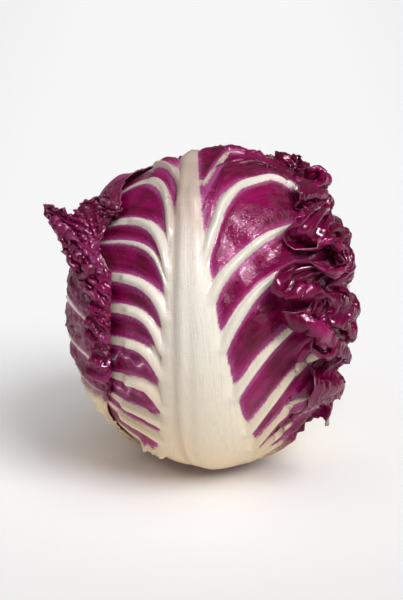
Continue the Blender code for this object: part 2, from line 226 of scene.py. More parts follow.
@dataclass(frozen=True)
class Ball:
    """The egg-shaped ball that the leaves lie on, in metres."""

    radius: float = 0.0560
    crown: float = 0.0582
    drop: float = 0.0680
    centre: float = 0.0665
    base_clearance: float = 0.0045

    @property
    def middle(self) -> np.ndarray:
        """The ball's centre."""
        return np.array((0.0, 0.0, self.centre))

    @property
    def base_alpha(self) -> float:
        """alpha, in degrees, at the leaves' cut base."""
        return math.degrees(math.acos((self.centre - self.base_clearance) / self.drop))

    def radii(self, d: np.ndarray) -> np.ndarray:
        """The ball's half axes on the side of the centre that d points to."""
        rise = np.where(d[..., 2] > 0.0, self.crown, self.drop)
        return np.stack((rise * 0.0 + self.radius, rise * 0.0 + self.radius, rise), axis=-1)

    def place(self, d: np.ndarray, lift: np.ndarray) -> np.ndarray:
        """The places that lie lift above the ball in unit directions d."""
        return d * (self.radii(d) + lift[..., None]) + self.middle

    def outward(self, points: np.ndarray) -> np.ndarray:
        """Unit vectors from the ball's centre to places."""
        return unit(points - self.middle)

    def arc(self, beta: np.ndarray, alpha: np.ndarray) -> np.ndarray:
        """The length of so many degrees of beta round a chart's axis at alpha."""
        return beta * np.sin(np.radians(alpha)) * math.radians(1.0) * self.radius

    def lift_of(self, points: np.ndarray) -> np.ndarray:
        """How far places lie above the ball, measured along the ray from its centre.

        Args:
            points: the places.

        Returns:
            The height of each, in metres.
        """
        q = points - self.middle
        share = np.linalg.norm(q / self.radii(q), axis=-1)
        return np.linalg.norm(q, axis=-1) * (1.0 - 1.0 / share)


@dataclass(frozen=True)
class Plan:
    """One wrapper leaf as the CAD lays it out: where it stands, its veins and what its margins do.

    azimuth turns it about the head's axis and lean tips its far pole past the crown. The vein tuples hold
    alpha where each side vein leaves the midrib. Tables go by row, where the base is row 0 and every vein
    has the next whole number.
    The midrib's tables go by alpha and hold its middle and half width in beta. rise and run say how far and
    how fast a vein climbs by the margin, and near_left and near_right, as (row, rise, run), how it leaves
    the midrib's edge. level is how many rows from the tip the climb begins to fade. odd_left and odd_right
    hold (row, strength) of veins that are thin, missing or extra, and short the (row, length) of a vein on
    the right that ends early.
    """

    name: str
    azimuth: float
    lean: float
    tip: float
    veins_left: tuple[float, ...]
    veins_right: tuple[float, ...]
    rise: tuple[float, float] = (16.0, 20.0)
    run: tuple[float, float] = (7.0, 11.0)
    near_left: Triples = ()
    near_right: Triples = ()
    level: float = 2.5
    odd_left: Pairs = ()
    odd_right: Pairs = ()
    short: Pairs = ()
    span_left: Pairs = ()
    span_right: Pairs = ()
    midrib_half: Pairs = ((24, 32.0), (36, 22.0), (60, 13.0), (85, 8.0), (110, 4.2), (146, 1.0))
    midrib_middle: Pairs = ((24, 0.0), (150, 0.0))
    wave_left: float = 0.0
    wave_right: float = 0.0
    wave_tip: float = 0.0
    hem: Pairs = ()
    hem_angle: Pairs = ()
    hem_wave: float = 0.0
    hem_hug: Pairs = ((0, 0.0), (12, 0.0))
    seed: int = 0

    @property
    def last(self) -> int:
        """The row at the tip."""
        return len(self.veins_left) + 1

    def veins(self, side: Side) -> tuple[float, ...]:
        """alpha of the side veins on one side, from the base up."""
        return self.veins_left if side is Side.LEFT else self.veins_right

    def drawn(self, side: Side) -> dict[float, float]:
        """The strength of every vein that shows on one side, by its row."""
        odd = dict(self.odd_left if side is Side.LEFT else self.odd_right)
        return {row: 1.0 for row in range(1, self.last)} | odd

    def span(self, side: Side) -> Pairs:
        """The table of how far the leaf reaches in beta on one side."""
        return self.span_left if side is Side.LEFT else self.span_right


BALL = Ball()
BLADE = 1.2 * MM
LAYER = 1.9 * MM
# How far a margin that turns back is lifted, for strips between the two lengths, and its roll's radius
HEM_LIFT = 1.4 * MM
HEM_LENGTHS = (0.002, 0.006)
HEM_BEND = 2.6 * MM
HEM_STEEPEST = math.radians(172.0)
# How far outside a leaf's margin, in degrees, the next leaf comes down again and its ribs stand out
LIFT_FADE = (4.5, 15.0)
RELIEF_FADE = (3.8, 9.0)
# Between which rows the growth sets in, and how many rounds its two stages take
GROWTH_ROWS = (1.4, 3.2)
GROWTH_ROUNDS, QUICK_GROWTH_ROUNDS = 240, 60
CREASE_ROUNDS, QUICK_CREASE_ROUNDS = 60, 20

FRONT = Plan(
    "front_leaf", azimuth=-6.0, lean=35.0, tip=163.0,
    veins_left=(38.0, 45.0, 52.0, 58.0, 69.0, 75.0, 84.0, 98.0, 109.0, 128.0),
    veins_right=(29.0, 35.0, 42.0, 50.0, 63.0, 76.0, 91.5, 104.0, 113.0, 121.0),
    odd_left=((7, 1.0), (7.6, 0.45), (8, 1.0), (10, 0.6)),
    odd_right=((1, 0.6), (2, 0.7), (3, 0.85), (9, 0.0), (10, 0.32)),
    short=((1, 20.0 * MM), (2, 24.0 * MM), (3, 28.0 * MM), (8, 40.0 * MM), (10, 13.0 * MM)),
    level=1.0, rise=(14.0, 23.0), run=(6.0, 12.0),
    near_left=((0, 0.0, 10.0), (1, 3.0, 10.0), (2, 8.0, 8.0), (3, 7.0, 8.0), (4, 8.0, 2.5), (5, 8.0, 3.0),
               (6, 11.0, 3.5), (7, 11.0, 5.0), (8, 16.5, 5.0), (9, 22.0, 6.0), (10, 12.0, 8.0),
               (11, 2.0, 8.0)),
    near_right=((0, 0.0, 14.0), (1, 12.0, 14.0), (2, 20.0, 12.0), (3, 22.0, 6.5), (4, 40.0, 20.0),
                (5, 36.0, 22.0), (6, 26.0, 10.0), (7, 27.0, 17.0), (8, 30.0, 8.0), (9, 28.0, 5.0),
                (10, 25.0, 3.2), (11, 2.0, 8.0)),
    span_left=((0, 60.0), (2, 58.0), (5, 61.0), (11, 58.0)),
    span_right=((0, 50.0), (2, 53.0), (3, 52.0), (4.5, 52.0), (6.3, 53.0), (7.3, 57.0), (8.5, 62.0),
                (11, 58.0)),
    midrib_half=((24, 36.0), (34, 31.0), (40, 27.0), (47, 21.0), (54, 16.0), (66, 12.0), (75, 10.0),
                 (81, 8.2), (90, 7.0), (106, 6.0), (116, 5.0), (127, 4.6), (134, 5.0), (146, 6.2),
                 (163, 7.0)),
    midrib_middle=((24, 4.0), (47, 4.0), (54, 2.0), (66, 0.0), (75, -1.0), (90, -2.0), (106, -4.0),
                   (116, -5.0), (127, -6.5), (134, -9.0), (146, -14.0), (163, -22.0)),
    wave_right=2.5 * MM, wave_tip=4.0 * MM,
    hem=((0, 0.0), (1.6, 0.002), (2.2, 0.008), (2.7, 0.016), (3.1, 0.012), (3.5, 0.020), (3.9, 0.024),
         (4.2, 0.020), (4.5, 0.034), (4.9, 0.044), (5.5, 0.044), (5.85, 0.032), (6.15, 0.012), (6.5, 0.024),
         (6.9, 0.035), (7.4, 0.034), (7.9, 0.022), (8.6, 0.008), (10, 0.001), (11, 0.001)),
    hem_angle=((0, 40.0), (2.0, 120.0), (2.8, 166.0), (8.6, 168.0), (9.3, 120.0), (10, 60.0), (11, 10.0)),
    hem_wave=0.22, hem_hug=((0, 1.1), (12, 1.1)), seed=3,
)
LEFT = Plan(
    "left_leaf", azimuth=-112.0, lean=22.0, tip=131.0,
    veins_left=(34.0, 45.0, 56.0, 68.0, 81.0, 95.0, 109.0),
    veins_right=(34.0, 45.0, 56.0, 68.0, 81.0, 94.0, 106.0),
    span_left=((0, 44.0), (3, 48.0), (8, 46.0)),
    span_right=((0, 26.0), (1, 46.0), (2, 58.0), (3, 61.0), (4, 60.0), (5, 56.0), (6, 48.0), (7, 37.0),
                (8, 30.0)),
    midrib_half=((24, 32.0), (36, 22.0), (60, 13.0), (85, 7.0), (105, 4.0), (120, 2.0), (131, 1.0)),
    wave_left=2.0 * MM, wave_tip=1.5 * MM,
    hem=((0, 0.0), (2.2, 0.001), (2.9, 0.006), (4.4, 0.006), (5.0, 0.009), (5.5, 0.021), (6.0, 0.029),
         (6.5, 0.028), (6.9, 0.019), (7.2, 0.014), (7.5, 0.008), (8, 0.001)),
    hem_angle=((0, 60.0), (2.4, 164.0), (5.2, 166.0), (5.9, 158.0), (6.6, 150.0), (7.2, 130.0), (8, 60.0)),
    hem_wave=0.22, hem_hug=((0, 1.0), (4.8, 1.0), (5.6, 0.0), (8, 0.0)), seed=11,
)
RIGHT = Plan(
    "right_leaf", azimuth=106.0, lean=24.0, tip=146.0,
    veins_left=(36.0, 47.0, 60.0, 75.0, 91.0, 108.0, 126.0),
    veins_right=(34.0, 45.0, 57.0, 71.0, 87.0, 104.0, 123.0),
    span_left=((0, 40.0), (8, 54.0)),
    span_right=((0, 46.0), (8, 52.0)),
    wave_right=5.0 * MM, wave_tip=2.0 * MM, seed=23,
)
BACK = Plan(
    "back_leaf", azimuth=181.0, lean=20.0, tip=148.0,
    veins_left=(36.0, 48.0, 61.0, 76.0, 92.0, 109.0, 127.0),
    veins_right=(34.0, 46.0, 59.0, 73.0, 89.0, 106.0, 125.0),
    span_left=((0, 46.0), (8, 58.0)),
    span_right=((0, 46.0), (8, 58.0)),
    wave_tip=1.2 * MM, seed=31,
)
THIN_VEINS = ((0, 2.2 * MM), (10, 1.4 * MM), (20, 0.7 * MM), (40, 0.35 * MM), (90, 0.25 * MM))
SIDE_VEINS = ((0, 2.3 * MM), (12, 1.6 * MM), (24, 0.95 * MM), (38, 0.45 * MM), (90, 0.25 * MM))
FRONT_GROOVE = ((24, -8.0), (45, -8.0), (53, -7.0), (63, -6.0), (76, -5.5), (89, -6.0), (97, -6.3),
                (106, -7.2), (115, -9.0), (128, -12.0), (163, -26.0))
# From the innermost leaf to the outermost, each one lying on those before it
PLANS = (BACK, RIGHT, FRONT, LEFT)


@dataclass(frozen=True)
class Chart:
    """A leaf's own coordinates on the ball.

    alpha runs from the stem over the leaf's face to a far pole past the crown, and beta runs round that
    axis. A point is w = tan(alpha / 2) at angle beta, the Moebius map w / (1 - w tan(lean / 2)) leans the
    pole, and the stereographic projection from the crown turns the result into a direction.
    """

    plan: Plan
    climb_rows: float = 1.6
    midrib_clear: float = 4.0
    near_span: tuple[float, float] = (28.0, 54.0)
    edge_share: float = 0.9
    side_blend: float = 8.0
    tip_rounding: float = 16.0
    tip_span: float = 60.0

    def direction(self, alpha: np.ndarray, beta: np.ndarray) -> np.ndarray:
        """Unit vectors from the ball's centre through chart points.

        Args:
            alpha: alpha of chart points, in degrees.
            beta: their beta.

        Returns:
            The directions, with three numbers in the last axis.
        """
        plan = self.plan
        w = np.tan(np.radians(alpha) / 2.0) * np.exp(1j * np.radians(beta))
        b = 1.0 - w * math.tan(math.radians(plan.lean) / 2.0)
        cross, size = w * np.conj(b), np.abs(w) ** 2 + np.abs(b) ** 2
        ahead, aside = 2.0 * cross.real / size, 2.0 * cross.imag / size
        turn = math.radians(plan.azimuth)
        return np.stack((ahead * math.sin(turn) + aside * math.cos(turn),
                         aside * math.sin(turn) - ahead * math.cos(turn),
                         (np.abs(w) ** 2 - np.abs(b) ** 2) / size), axis=-1)

    def point_of(self, d: np.ndarray) -> tuple[np.ndarray, np.ndarray]:
        """(alpha, beta) of unit vectors, the inverse of direction().

        Args:
            d: unit vectors.

        Returns:
            alpha and beta, in degrees.
        """
        turn = math.radians(self.plan.azimuth)
        ahead = d[..., 0] * math.sin(turn) - d[..., 1] * math.cos(turn)
        aside = d[..., 0] * math.cos(turn) + d[..., 1] * math.sin(turn)
        z = ahead + 1j * aside
        w = z / (1.0 - d[..., 2] + z * math.tan(math.radians(self.plan.lean) / 2.0) + 1e-12)
        return np.degrees(2.0 * np.arctan(np.abs(w))), np.degrees(np.angle(w))

    def levels(self, side: Side) -> tuple[float, ...]:
        """alpha of every whole row at the midrib on one side."""
        return (BALL.base_alpha, *self.plan.veins(side), self.plan.tip)

    def climbs(self, row: np.ndarray, beta: np.ndarray) -> list[np.ndarray]:
        """How far a row rises from the midrib to beta on each side: rise (1 - exp(-away / run)).

        Towards the margin away is counted from the midrib's middle. Where the plan says how the veins leave
        the midrib, away is counted from its edge there, and the two laws are blended in between.

        Args:
            row: the points' rows.
            beta: their beta.

        Returns:
            The climb in degrees of alpha, for the left side and for the right.
        """
        plan = self.plan
        rises = smooth(0.0, self.climb_rows, row) * np.clip((plan.last - row) / plan.level, 0.0, 1.0)
        away = np.clip(np.abs(beta) - self.midrib_clear, 0.0, None)
        far = [rises * rise * (1.0 - np.exp(-away / run)) for rise, run in zip(plan.rise, plan.run)]
        if not plan.near_left:
            return far
        share = smooth(*self.near_span, np.abs(beta))
        return [self.near_climb(side, row, beta) * (1.0 - share) + climb * share
                for side, climb in zip(Side, far)]

    def near_climb(self, side: Side, row: np.ndarray, beta: np.ndarray) -> np.ndarray:
        """How far a row rises from the midrib's edge to beta, by the plan's own (row, rise, run).

        Args:
            side: which side.
            row: the points' rows.
            beta: their beta.

        Returns:
            The climb in degrees of alpha.
        """
        plan = self.plan
        rows, rises, runs = zip(*(plan.near_left if side is Side.LEFT else plan.near_right))
        levels = self.levels(side)
        start = np.interp(row, range(len(levels)), levels)
        edge = self.edge_share * look_up(plan.midrib_half, start)
        edge = edge + side.value * look_up(plan.midrib_middle, start)
        away = np.clip(side.value * beta - np.maximum(edge, 0.0), 0.0, None)
        return np.interp(row, rows, rises) * (1.0 - np.exp(-away / np.interp(row, rows, runs)))

    def alpha(self, row: np.ndarray, beta: np.ndarray) -> np.ndarray:
        """alpha at a row and beta, blended from the left side to the right across the midrib.

        The row's level at the midrib is a curve through the veins' own, its corners rounded by averaging.

        Args:
            row: the points' rows.
            beta: their beta.

        Returns:
            Their alpha, in degrees.
        """
        plan = self.plan
        climbs = self.climbs(row, beta)
        sides = []
        for side, climb in zip(Side, climbs):
            levels = self.levels(side)
            near = sum(np.interp(row + step, range(len(levels)), levels) for step in (-0.3, 0.0, 0.3)) / 3.0
            sides.append(near + climb)
        share = smooth(-self.side_blend, self.side_blend, beta)
        near_tip = np.clip(1.0 - (plan.last - row) / plan.level, 0.0, 1.0)
        rounding = self.tip_rounding * near_tip * (np.abs(beta) / self.tip_span) ** 2
        return sides[0] * (1.0 - share) + sides[1] * share - rounding

    def row_of(self, alpha: np.ndarray, beta: np.ndarray) -> np.ndarray:
        """The row through a chart point, found in a few rounds.

        Args:
            alpha: the points' alpha.
            beta: their beta.

        Returns:
            Their rows.
        """
        left, right = self.levels(Side.LEFT), self.levels(Side.RIGHT)
        levels = range(len(left))
        row = np.interp(alpha, right, levels)
        for _ in range(4):
            climb = self.climbs(row, beta)
            row = np.where(beta < 0.0, np.interp(alpha - climb[0], left, levels),
                           np.interp(alpha - climb[1], right, levels))
        return row

    def cover(self, d: np.ndarray, low: float, high: float) -> np.ndarray:
        """1 where the leaf lies, fading to 0 from low to high degrees of arc outside its margin.

        Args:
            d: unit vectors.
            low: where the fade begins, in degrees.
            high: where it ends.

        Returns:
            The cover for each direction, 0 to 1.
        """
        plan = self.plan
        alpha, beta = self.point_of(d)
        row = self.row_of(alpha, beta)
        span = np.where(beta < 0.0, look_up(plan.span_left, row), look_up(plan.span_right, row))
        aside = (np.abs(beta) - span) * np.sin(np.radians(alpha))
        return 1.0 - smooth(low, high, np.maximum(np.maximum(aside, alpha - plan.tip), 0.0))


# Growing, buckling leaves.

# A cube and its thirteen neighbours on one side, so that two cubes are looked at together only once
NEIGHBOURS = [(x, y, z) for x in (0, 1) for y in (-1, 0, 1) for z in (-1, 0, 1) if (x, y, z) >= (0, 0, 0)]


def draw_together(a: np.ndarray, b: np.ndarray, length: np.ndarray, share: float) -> None:
    """Moves the two ends of many edges along them, in place, by a share of what they lack of a length.

    Args:
        a: the first ends.
        b: the second ends.
        length: the wanted lengths.
        share: the share of the lack that is made good.
    """
    gap = b - a
    size = np.sqrt(np.einsum("ijk,ijk->ij", gap, gap)) + 1e-9
    push = gap * (0.5 * share * (size - length) / size)[..., None]
    a += push
    b -= push


@dataclass
class Ruffling:
    """A leaf's sheet that grows towards its margins until it buckles, as real leaves do.

    Each round moves every point on with most of its last step, then pulls all edges, diagonals and
    two-step spans to their grown lengths, keeps points of different folds apart, holds the ribs, and keeps
    the sheet over the layer below and under a soft ceiling.
    """

    rounds: int
    seed: int
    damping: float = 0.90
    grown_by: float = 0.65
    bending: float = 0.22
    bending_across: float = 0.8
    slant_pull: float = 0.35
    contact: float = 1.25 * MM
    contact_push: float = 0.45
    search_reach: float = 1.5
    search_every: int = 6
    sheet_apart: float = 2.6
    ceiling_push: float = 0.25
    shake: float = 0.05 * MM
    first_shake: float = 8.0
    noise_length: float = 9.0 * MM

    def settle(self, start: np.ndarray, growth: np.ndarray, hold: np.ndarray, low: np.ndarray,
               high: np.ndarray, press: float = 0.0) -> np.ndarray:
        """Runs the growth.

        Args:
            start: the grid of places before it grows.
            growth: how much longer edges become along rows and along columns, two numbers for each point.
            hold: how firmly each point is held at its start, 0 to 1.
            low: the least lift over the ball for each point.
            high: the lift from which the ceiling pushes back.
            press: a small step towards the head in each round.

        Returns:
            The grid of places after it.
        """
        points = start.copy()
        rng = np.random.default_rng(self.seed)
        out, free = BALL.outward(start), (1.0 - hold)[..., None]
        noise = swell(start, self.noise_length, self.seed, 3)[..., None]
        points += out * noise * free * self.first_shake * self.shake
        before = points.copy()
        final = {step: edge_lengths(start, *step) for step in ((1, 0), (0, 1), (1, 1), (0, 2))}
        flat = np.stack(arcs(start), axis=-1).reshape(-1, 2)
        pairs = np.zeros((2, 0), int)
        for done in range(self.rounds):
            grown = smooth(0.0, self.grown_by, done / self.rounds)
            points, before = points + self.damping * (points - before), points
            points = points - out * press
            kick = rng.normal(size=points.shape[:2] + (1,)) * self.shake * free
            points += out * kick * (1.0 - grown)
            self.tie(points, final, 1.0 + (growth - 1.0) * grown)
            if done % self.search_every == 0:
                pairs = self.close_pairs(points.reshape(-1, 3), flat)
            self.push_apart(points, pairs)
            points += (start - points) * hold[..., None]
            self.confine(points, low, high)
        return points

    def tie(self, points: np.ndarray, final: dict, factor: np.ndarray) -> None:
        """Pulls edges down and across, diagonals and two-step spans to their grown lengths.

        Args:
            points: the grid of places, changed in place.
            final: the start's lengths, by steps down and across.
            factor: how much longer they are by now, two numbers for each point.
        """
        down = final[1, 0] * factor[1:, :, 0]
        across = final[0, 1] * factor[:, 1:, 1]
        slant = final[1, 1] * 0.5 * (factor[1:, 1:, 0] + factor[1:, 1:, 1])
        for first in (0, 1):
            count = (points.shape[0] - first) // 2
            draw_together(points[first:first + 2 * count:2], points[first + 1:first + 2 * count:2],
                          down[first:first + 2 * count:2][:count], 1.0)
        for first in (0, 1):
            count = (points.shape[1] - first) // 2
            draw_together(points[:, first:first + 2 * count:2], points[:, first + 1:first + 2 * count:2],
                          across[:, first:first + 2 * count:2][:, :count], 1.0)
        for first in (0, 1):
            count = (points.shape[0] - first) // 2
            rows = slice(first, first + 2 * count, 2)
            below = slice(first + 1, first + 2 * count, 2)
            length = slant[rows][:count]
            draw_together(points[rows, :-1][:count], points[below, 1:][:count], length, self.slant_pull)
            draw_together(points[rows, 1:][:count], points[below, :-1][:count], length, self.slant_pull)
        self.stiffen(points, down[:-1] + down[1:], final[0, 2] * factor[:, 2:, 1])

    def stiffen(self, points: np.ndarray, span: np.ndarray, across: np.ndarray) -> None:
        """Pulls two-step spans towards straight along the margin, and towards the start's shape across it.

        Args:
            points: the grid of places, changed in place.
            span: the lengths of two steps down.
            across: the lengths of two steps across.
        """
        for first in range(4):
            a, b, length = points[first:-2:4], points[first + 2::4], span[first::4]
            count = min(len(a), len(b), len(length))
            draw_together(a[:count], b[:count], length[:count], self.bending)
        for first in range(4):
            a, b, length = points[:, first:-2:4], points[:, first + 2::4], across[:, first::4]
            count = min(a.shape[1], b.shape[1], length.shape[1])
            draw_together(a[:, :count], b[:, :count], length[:, :count], self.bending_across * self.bending)

    def close_pairs(self, points: np.ndarray, flat: np.ndarray) -> np.ndarray:
        """Pairs of points that lie close in space but far apart on the sheet.

        Points are sorted by the small cube that holds them, and each looks through its own cube and the
        neighbours on one side.

        Args:
            points: the places, one a row.
            flat: their places on the sheet laid flat.

        Returns:
            Two rows of indices.
        """
        reach, side = self.search_reach * self.contact, 512
        cube = np.floor((points - points.min(axis=0)) / reach).astype(np.int64) + 1
        key = (cube[:, 0] * side + cube[:, 1]) * side + cube[:, 2]
        order = np.argsort(key, kind="stable")
        ranked = key[order]
        found = []
        for dx, dy, dz in NEIGHBOURS:
            target = key + (dx * side + dy) * side + dz
            start = np.searchsorted(ranked, target, "left")
            count = np.searchsorted(ranked, target, "right") - start
            for k in range(int(count.max())):
                who = np.nonzero(count > k)[0]
                found.append(np.stack((who, order[start[who] + k])))
        pairs = np.concatenate(found, axis=1)
        pairs = pairs[:, pairs[0] != pairs[1]]
        near = np.linalg.norm(points[pairs[0]] - points[pairs[1]], axis=1) < reach
        apart = np.linalg.norm(flat[pairs[0]] - flat[pairs[1]], axis=1) > self.sheet_apart * self.contact
        return pairs[:, near & apart]

    def push_apart(self, points: np.ndarray, pairs: np.ndarray) -> None:
        """Moves the points of close pairs away from each other until they are a contact's length apart.

        Args:
            points: the grid of places, changed in place.
            pairs: two rows of indices.
        """
        if pairs.shape[1] == 0:
            return
        places = points.reshape(-1, 3)
        gap = places[pairs[1]] - places[pairs[0]]
        size = np.linalg.norm(gap, axis=1) + 1e-9
        push = gap * (self.contact_push * np.clip(self.contact - size, 0.0, None) / size)[:, None]
        for axis in range(3):
            places[:, axis] += np.bincount(pairs[1], push[:, axis], len(places))
            places[:, axis] -= np.bincount(pairs[0], push[:, axis], len(places))

    def confine(self, points: np.ndarray, low: np.ndarray, high: np.ndarray) -> None:
        """Lifts points that sink under low and pushes those above high softly back.

        Args:
            points: the grid of places, changed in place.
            low: the least lift over the ball.
            high: the lift from which the ceiling pushes.
        """
        q = points - BALL.middle
        size = np.linalg.norm(q, axis=-1)
        lift = BALL.lift_of(points)
        change = np.clip(low - lift, 0.0, None) - self.ceiling_push * np.clip(lift - high, 0.0, None)
        points += q * (change / size)[..., None]


# Leaves.


@dataclass(frozen=True)
class Ledge:
    """A torn, wavy edge on a leaf's face, which stands over the blade below it.

    It lies near one row between two values of beta. height is how far it stands out, and fade how many rows
    up it takes to come down again.
    """

    row: float
    beta: tuple[float, float]
    height: float
    wave: float
    seed: float
    fade: float = 0.5

    def above(self, row: np.ndarray, beta: np.ndarray) -> np.ndarray:
        """How many rows points lie above its wavy line."""
        waves = np.sin(beta * 0.55 + self.seed) + 0.6 * np.sin(beta * 1.35 + 2.0 * self.seed)
        return row - self.row - self.wave * waves

    def inside(self, beta: np.ndarray) -> np.ndarray:
        """1 between its two values of beta, fading to 0 at them."""
        return smooth(self.beta[0], self.beta[0] + 4.0, beta) * smooth(self.beta[1], self.beta[1] - 4.0, beta)

    def relief(self, row: np.ndarray, beta: np.ndarray) -> np.ndarray:
        """Its height: a steep step at the wavy line, then exp(-rows above it / fade), within its beta.

        Args:
            row: the points' rows.
            beta: their beta.

        Returns:
            The height at each point, in metres.
        """
        above = self.above(row, beta)
        faded = np.exp(-np.clip(above, 0.0, None) / self.fade)
        return self.height * self.inside(beta) * smooth(-0.03, 0.03, above) * faded


@dataclass(frozen=True)
class Groove:
    """A groove down a midrib, with a fainter one on its right and a low shoulder on its left.

    line holds its beta by alpha. Pairs of alpha say where it sets in and ends, and where the shoulder does.
    """

    line: Pairs
    depth: float = 1.7 * MM
    width: float = 1.1 * MM
    second_away: float = 4.2 * MM
    second_width: float = 1.3 * MM
    second_share: float = 0.30
    begins: tuple[float, float] = (28.0, 40.0)
    ends: tuple[float, float] = (150.0, 120.0)
    shoulder: float = 0.5 * MM
    shoulder_edge: tuple[float, float] = (0.4 * MM, -1.2 * MM)
    shoulder_begins: tuple[float, float] = (40.0, 60.0)
    shoulder_ends: tuple[float, float] = (132.0, 116.0)

    def at(self, alpha: np.ndarray, beta: np.ndarray) -> np.ndarray:
        """Its depth, a bell across each line: exp(-(x / width)^2).

        Args:
            alpha: alpha of chart points.
            beta: their beta.

        Returns:
            The depth at each point, in metres.
        """
        across = BALL.arc(beta - look_up(self.line, alpha), alpha)
        second = np.exp(-((across - self.second_away) / self.second_width) ** 2)
        lines = np.exp(-(across / self.width) ** 2) + self.second_share * second
        shoulder = self.shoulder * smooth(*self.shoulder_edge, across) * smooth(*self.shoulder_begins, alpha)
        shoulder = shoulder * smooth(*self.shoulder_ends, alpha)
        return self.depth * lines * smooth(*self.begins, alpha) * smooth(*self.ends, alpha) + shoulder


# Where the front leaf is torn low on its left side
TORN = (Ledge(3.62, (-36.0, -12.0), 2.6 * MM, wave=0.10, seed=1.0),
        Ledge(4.58, (-34.0, -10.5), 1.9 * MM, wave=0.08, seed=2.4),
        Ledge(2.70, (-36.0, -15.0), 1.1 * MM, wave=0.08, seed=3.1),
        Ledge(1.05, (-38.0, -17.0), 1.5 * MM, wave=0.10, seed=4.0))


@dataclass
class Leaf:
    """A wrapper leaf's piece: its grid, its growth, its ribs and its closed shell.

    The grid has p along the midrib and q across. q up to `fold` spans the leaf from its left margin to its
    right one, and the rest is the right margin's strip that is turned back. `coarse` is the size of the grid
    that grows. `reach` and `strip_reach` say how deep the leaf is loose inside its margins: not at all at
    the first length, and wholly at the second. The other lengths named so say how far from a margin the
    blade is rough, thin or without its ribs' relief.
    """

    plan: Plan
    rows: int
    columns: int
    coarse: tuple[int, int]
    fold: float = 1.0
    midrib_height: Pairs = ((24, 2.6 * MM), (60, 4.2 * MM), (100, 3.4 * MM), (130, 2.2 * MM), (163, 1.2 * MM))
    vein_height: float = 2.9 * MM
    vein_half: Pairs = ((0, 2.6 * MM), (14, 2.0 * MM), (28, 1.35 * MM), (45, 0.8 * MM), (90, 0.4 * MM))
    joint: float = 1.6 * MM
    puff: float = 1.3 * MM
    groove: Groove | None = None
    ledges: tuple[Ledge, ...] = ()
    ledge_half: float = 0.2 * MM
    net_size: float = 5.2 * MM
    net_depth: float = 0.25 * MM
    net_bend: float = 1.2 * MM
    crinkle: float = 0.0
    swell_length: float = 22 * MM
    bend_length: float = 8 * MM
    small_length: float = 6 * MM
    crinkle_length: float = 5 * MM
    rough_reach: tuple[float, float] = (30 * MM, 10 * MM)
    thin_edge: float = 0.35
    thin_reach: float = 10 * MM
    relief_reach: float = 7 * MM
    inner_reach: float = 14 * MM
    edge_growth: float = 1.6
    cross_gain: float = 0.10
    reach_of_growth: float = 14.0 * MM
    blade_growth: float = 1.06
    reach: tuple[float, float] = (16.0 * MM, 6.0 * MM)
    strip_reach: tuple[float, float] = (16.0 * MM, 6.0 * MM)
    strip_lift: float = 3.2 * MM
    sink: float = 0.2 * MM
    press: float = 0.012 * MM
    rib_hold: float = 0.3
    spring: float = 0.02
    ceiling: float = 7.0 * MM
    crease_growth: float = 0.16
    crease_end: float = 20.0
    crease_tip: float = 20.0
    crease_contact: float = 0.75 * MM
    crease_length: float = 5.0 * MM
    tooth_gap: float = 4.6 * MM
    tooth_depth: float = 2.2 * MM
    tooth_reach: float = 5.0 * MM

    @property
    def chart(self) -> Chart:
        """The leaf's own coordinates."""
        return Chart(self.plan)

    def row_at(self, p: np.ndarray) -> np.ndarray:
        """The row at a share p of the way up, in even steps of the two sides' mean alpha.

        Args:
            p: shares of the way from base to tip.

        Returns:
            The rows.
        """
        left, right = self.chart.levels(Side.LEFT), self.chart.levels(Side.RIGHT)
        mean = 0.5 * (np.array(left) + np.array(right))
        return np.interp(mean[0] + p * (mean[-1] - mean[0]), mean, range(len(mean)))

    def beta_at(self, row: np.ndarray, t: np.ndarray) -> np.ndarray:
        """beta at a row for t from -1 on the left margin to 1 on the right, bent with the midrib's middle.

        Args:
            row: the points' rows.
            t: their t.

        Returns:
            Their beta, in degrees.
        """
        plan = self.plan
        left, right = look_up(plan.span_left, row), look_up(plan.span_right, row)
        beta = np.where(t < 0.0, t * left, t * right)
        rough = np.interp(row, range(plan.last + 1), self.chart.levels(Side.RIGHT))
        return beta + look_up(plan.midrib_middle, rough) * np.clip(1.0 - np.abs(t), 0.0, 1.0) ** 1.2

    def layer_lift(self, d: np.ndarray) -> np.ndarray:
        """The height over the ball at which the leaf lies on those below it."""
        below = PLANS[:PLANS.index(self.plan)]
        return sum(LAYER * Chart(other).cover(d, *LIFT_FADE) for other in below) + np.zeros(d.shape[:-1])

    def hidden(self, d: np.ndarray) -> np.ndarray:
        """1 where a later leaf lies over this one."""
        covers = [Chart(other).cover(d, *RELIEF_FADE) for other in PLANS[PLANS.index(self.plan) + 1:]]
        return np.max([np.zeros(d.shape[:-1]), *covers], axis=0)

    def main_grid(self, rows: int, columns: int) -> Grids:
        """The leaf before it grows, without its turned-back strip.

        Args:
            rows: how many rows.
            columns: how many columns, strip included.

        Returns:
            The grids by name: row, t, beta, alpha, d, lift, hidden and points.
        """
        q = np.linspace(0.0, 1.0, columns)
        t = q[q <= self.fold + 1e-9] / self.fold * 2.0 - 1.0
        row = self.row_at(np.linspace(0.0, 1.0, rows))[:, None] + 0.0 * t[None, :]
        t = t[None, :] + 0.0 * row
        beta = self.beta_at(row, t)
        alpha = self.chart.alpha(row, beta)
        d = self.chart.direction(alpha, beta)
        hidden = self.hidden(d)
        lift = self.layer_lift(d) + self.stand_up(row, beta, t) * (1.0 - hidden)
        if self.plan.hem:
            lift = lift + HEM_LIFT * smooth(0.80, 1.0, t) * smooth(*HEM_LENGTHS, look_up(self.plan.hem, row))
        return {"row": row, "t": t, "beta": beta, "alpha": alpha, "d": d, "lift": lift, "hidden": hidden,
                "points": BALL.place(d, lift)}

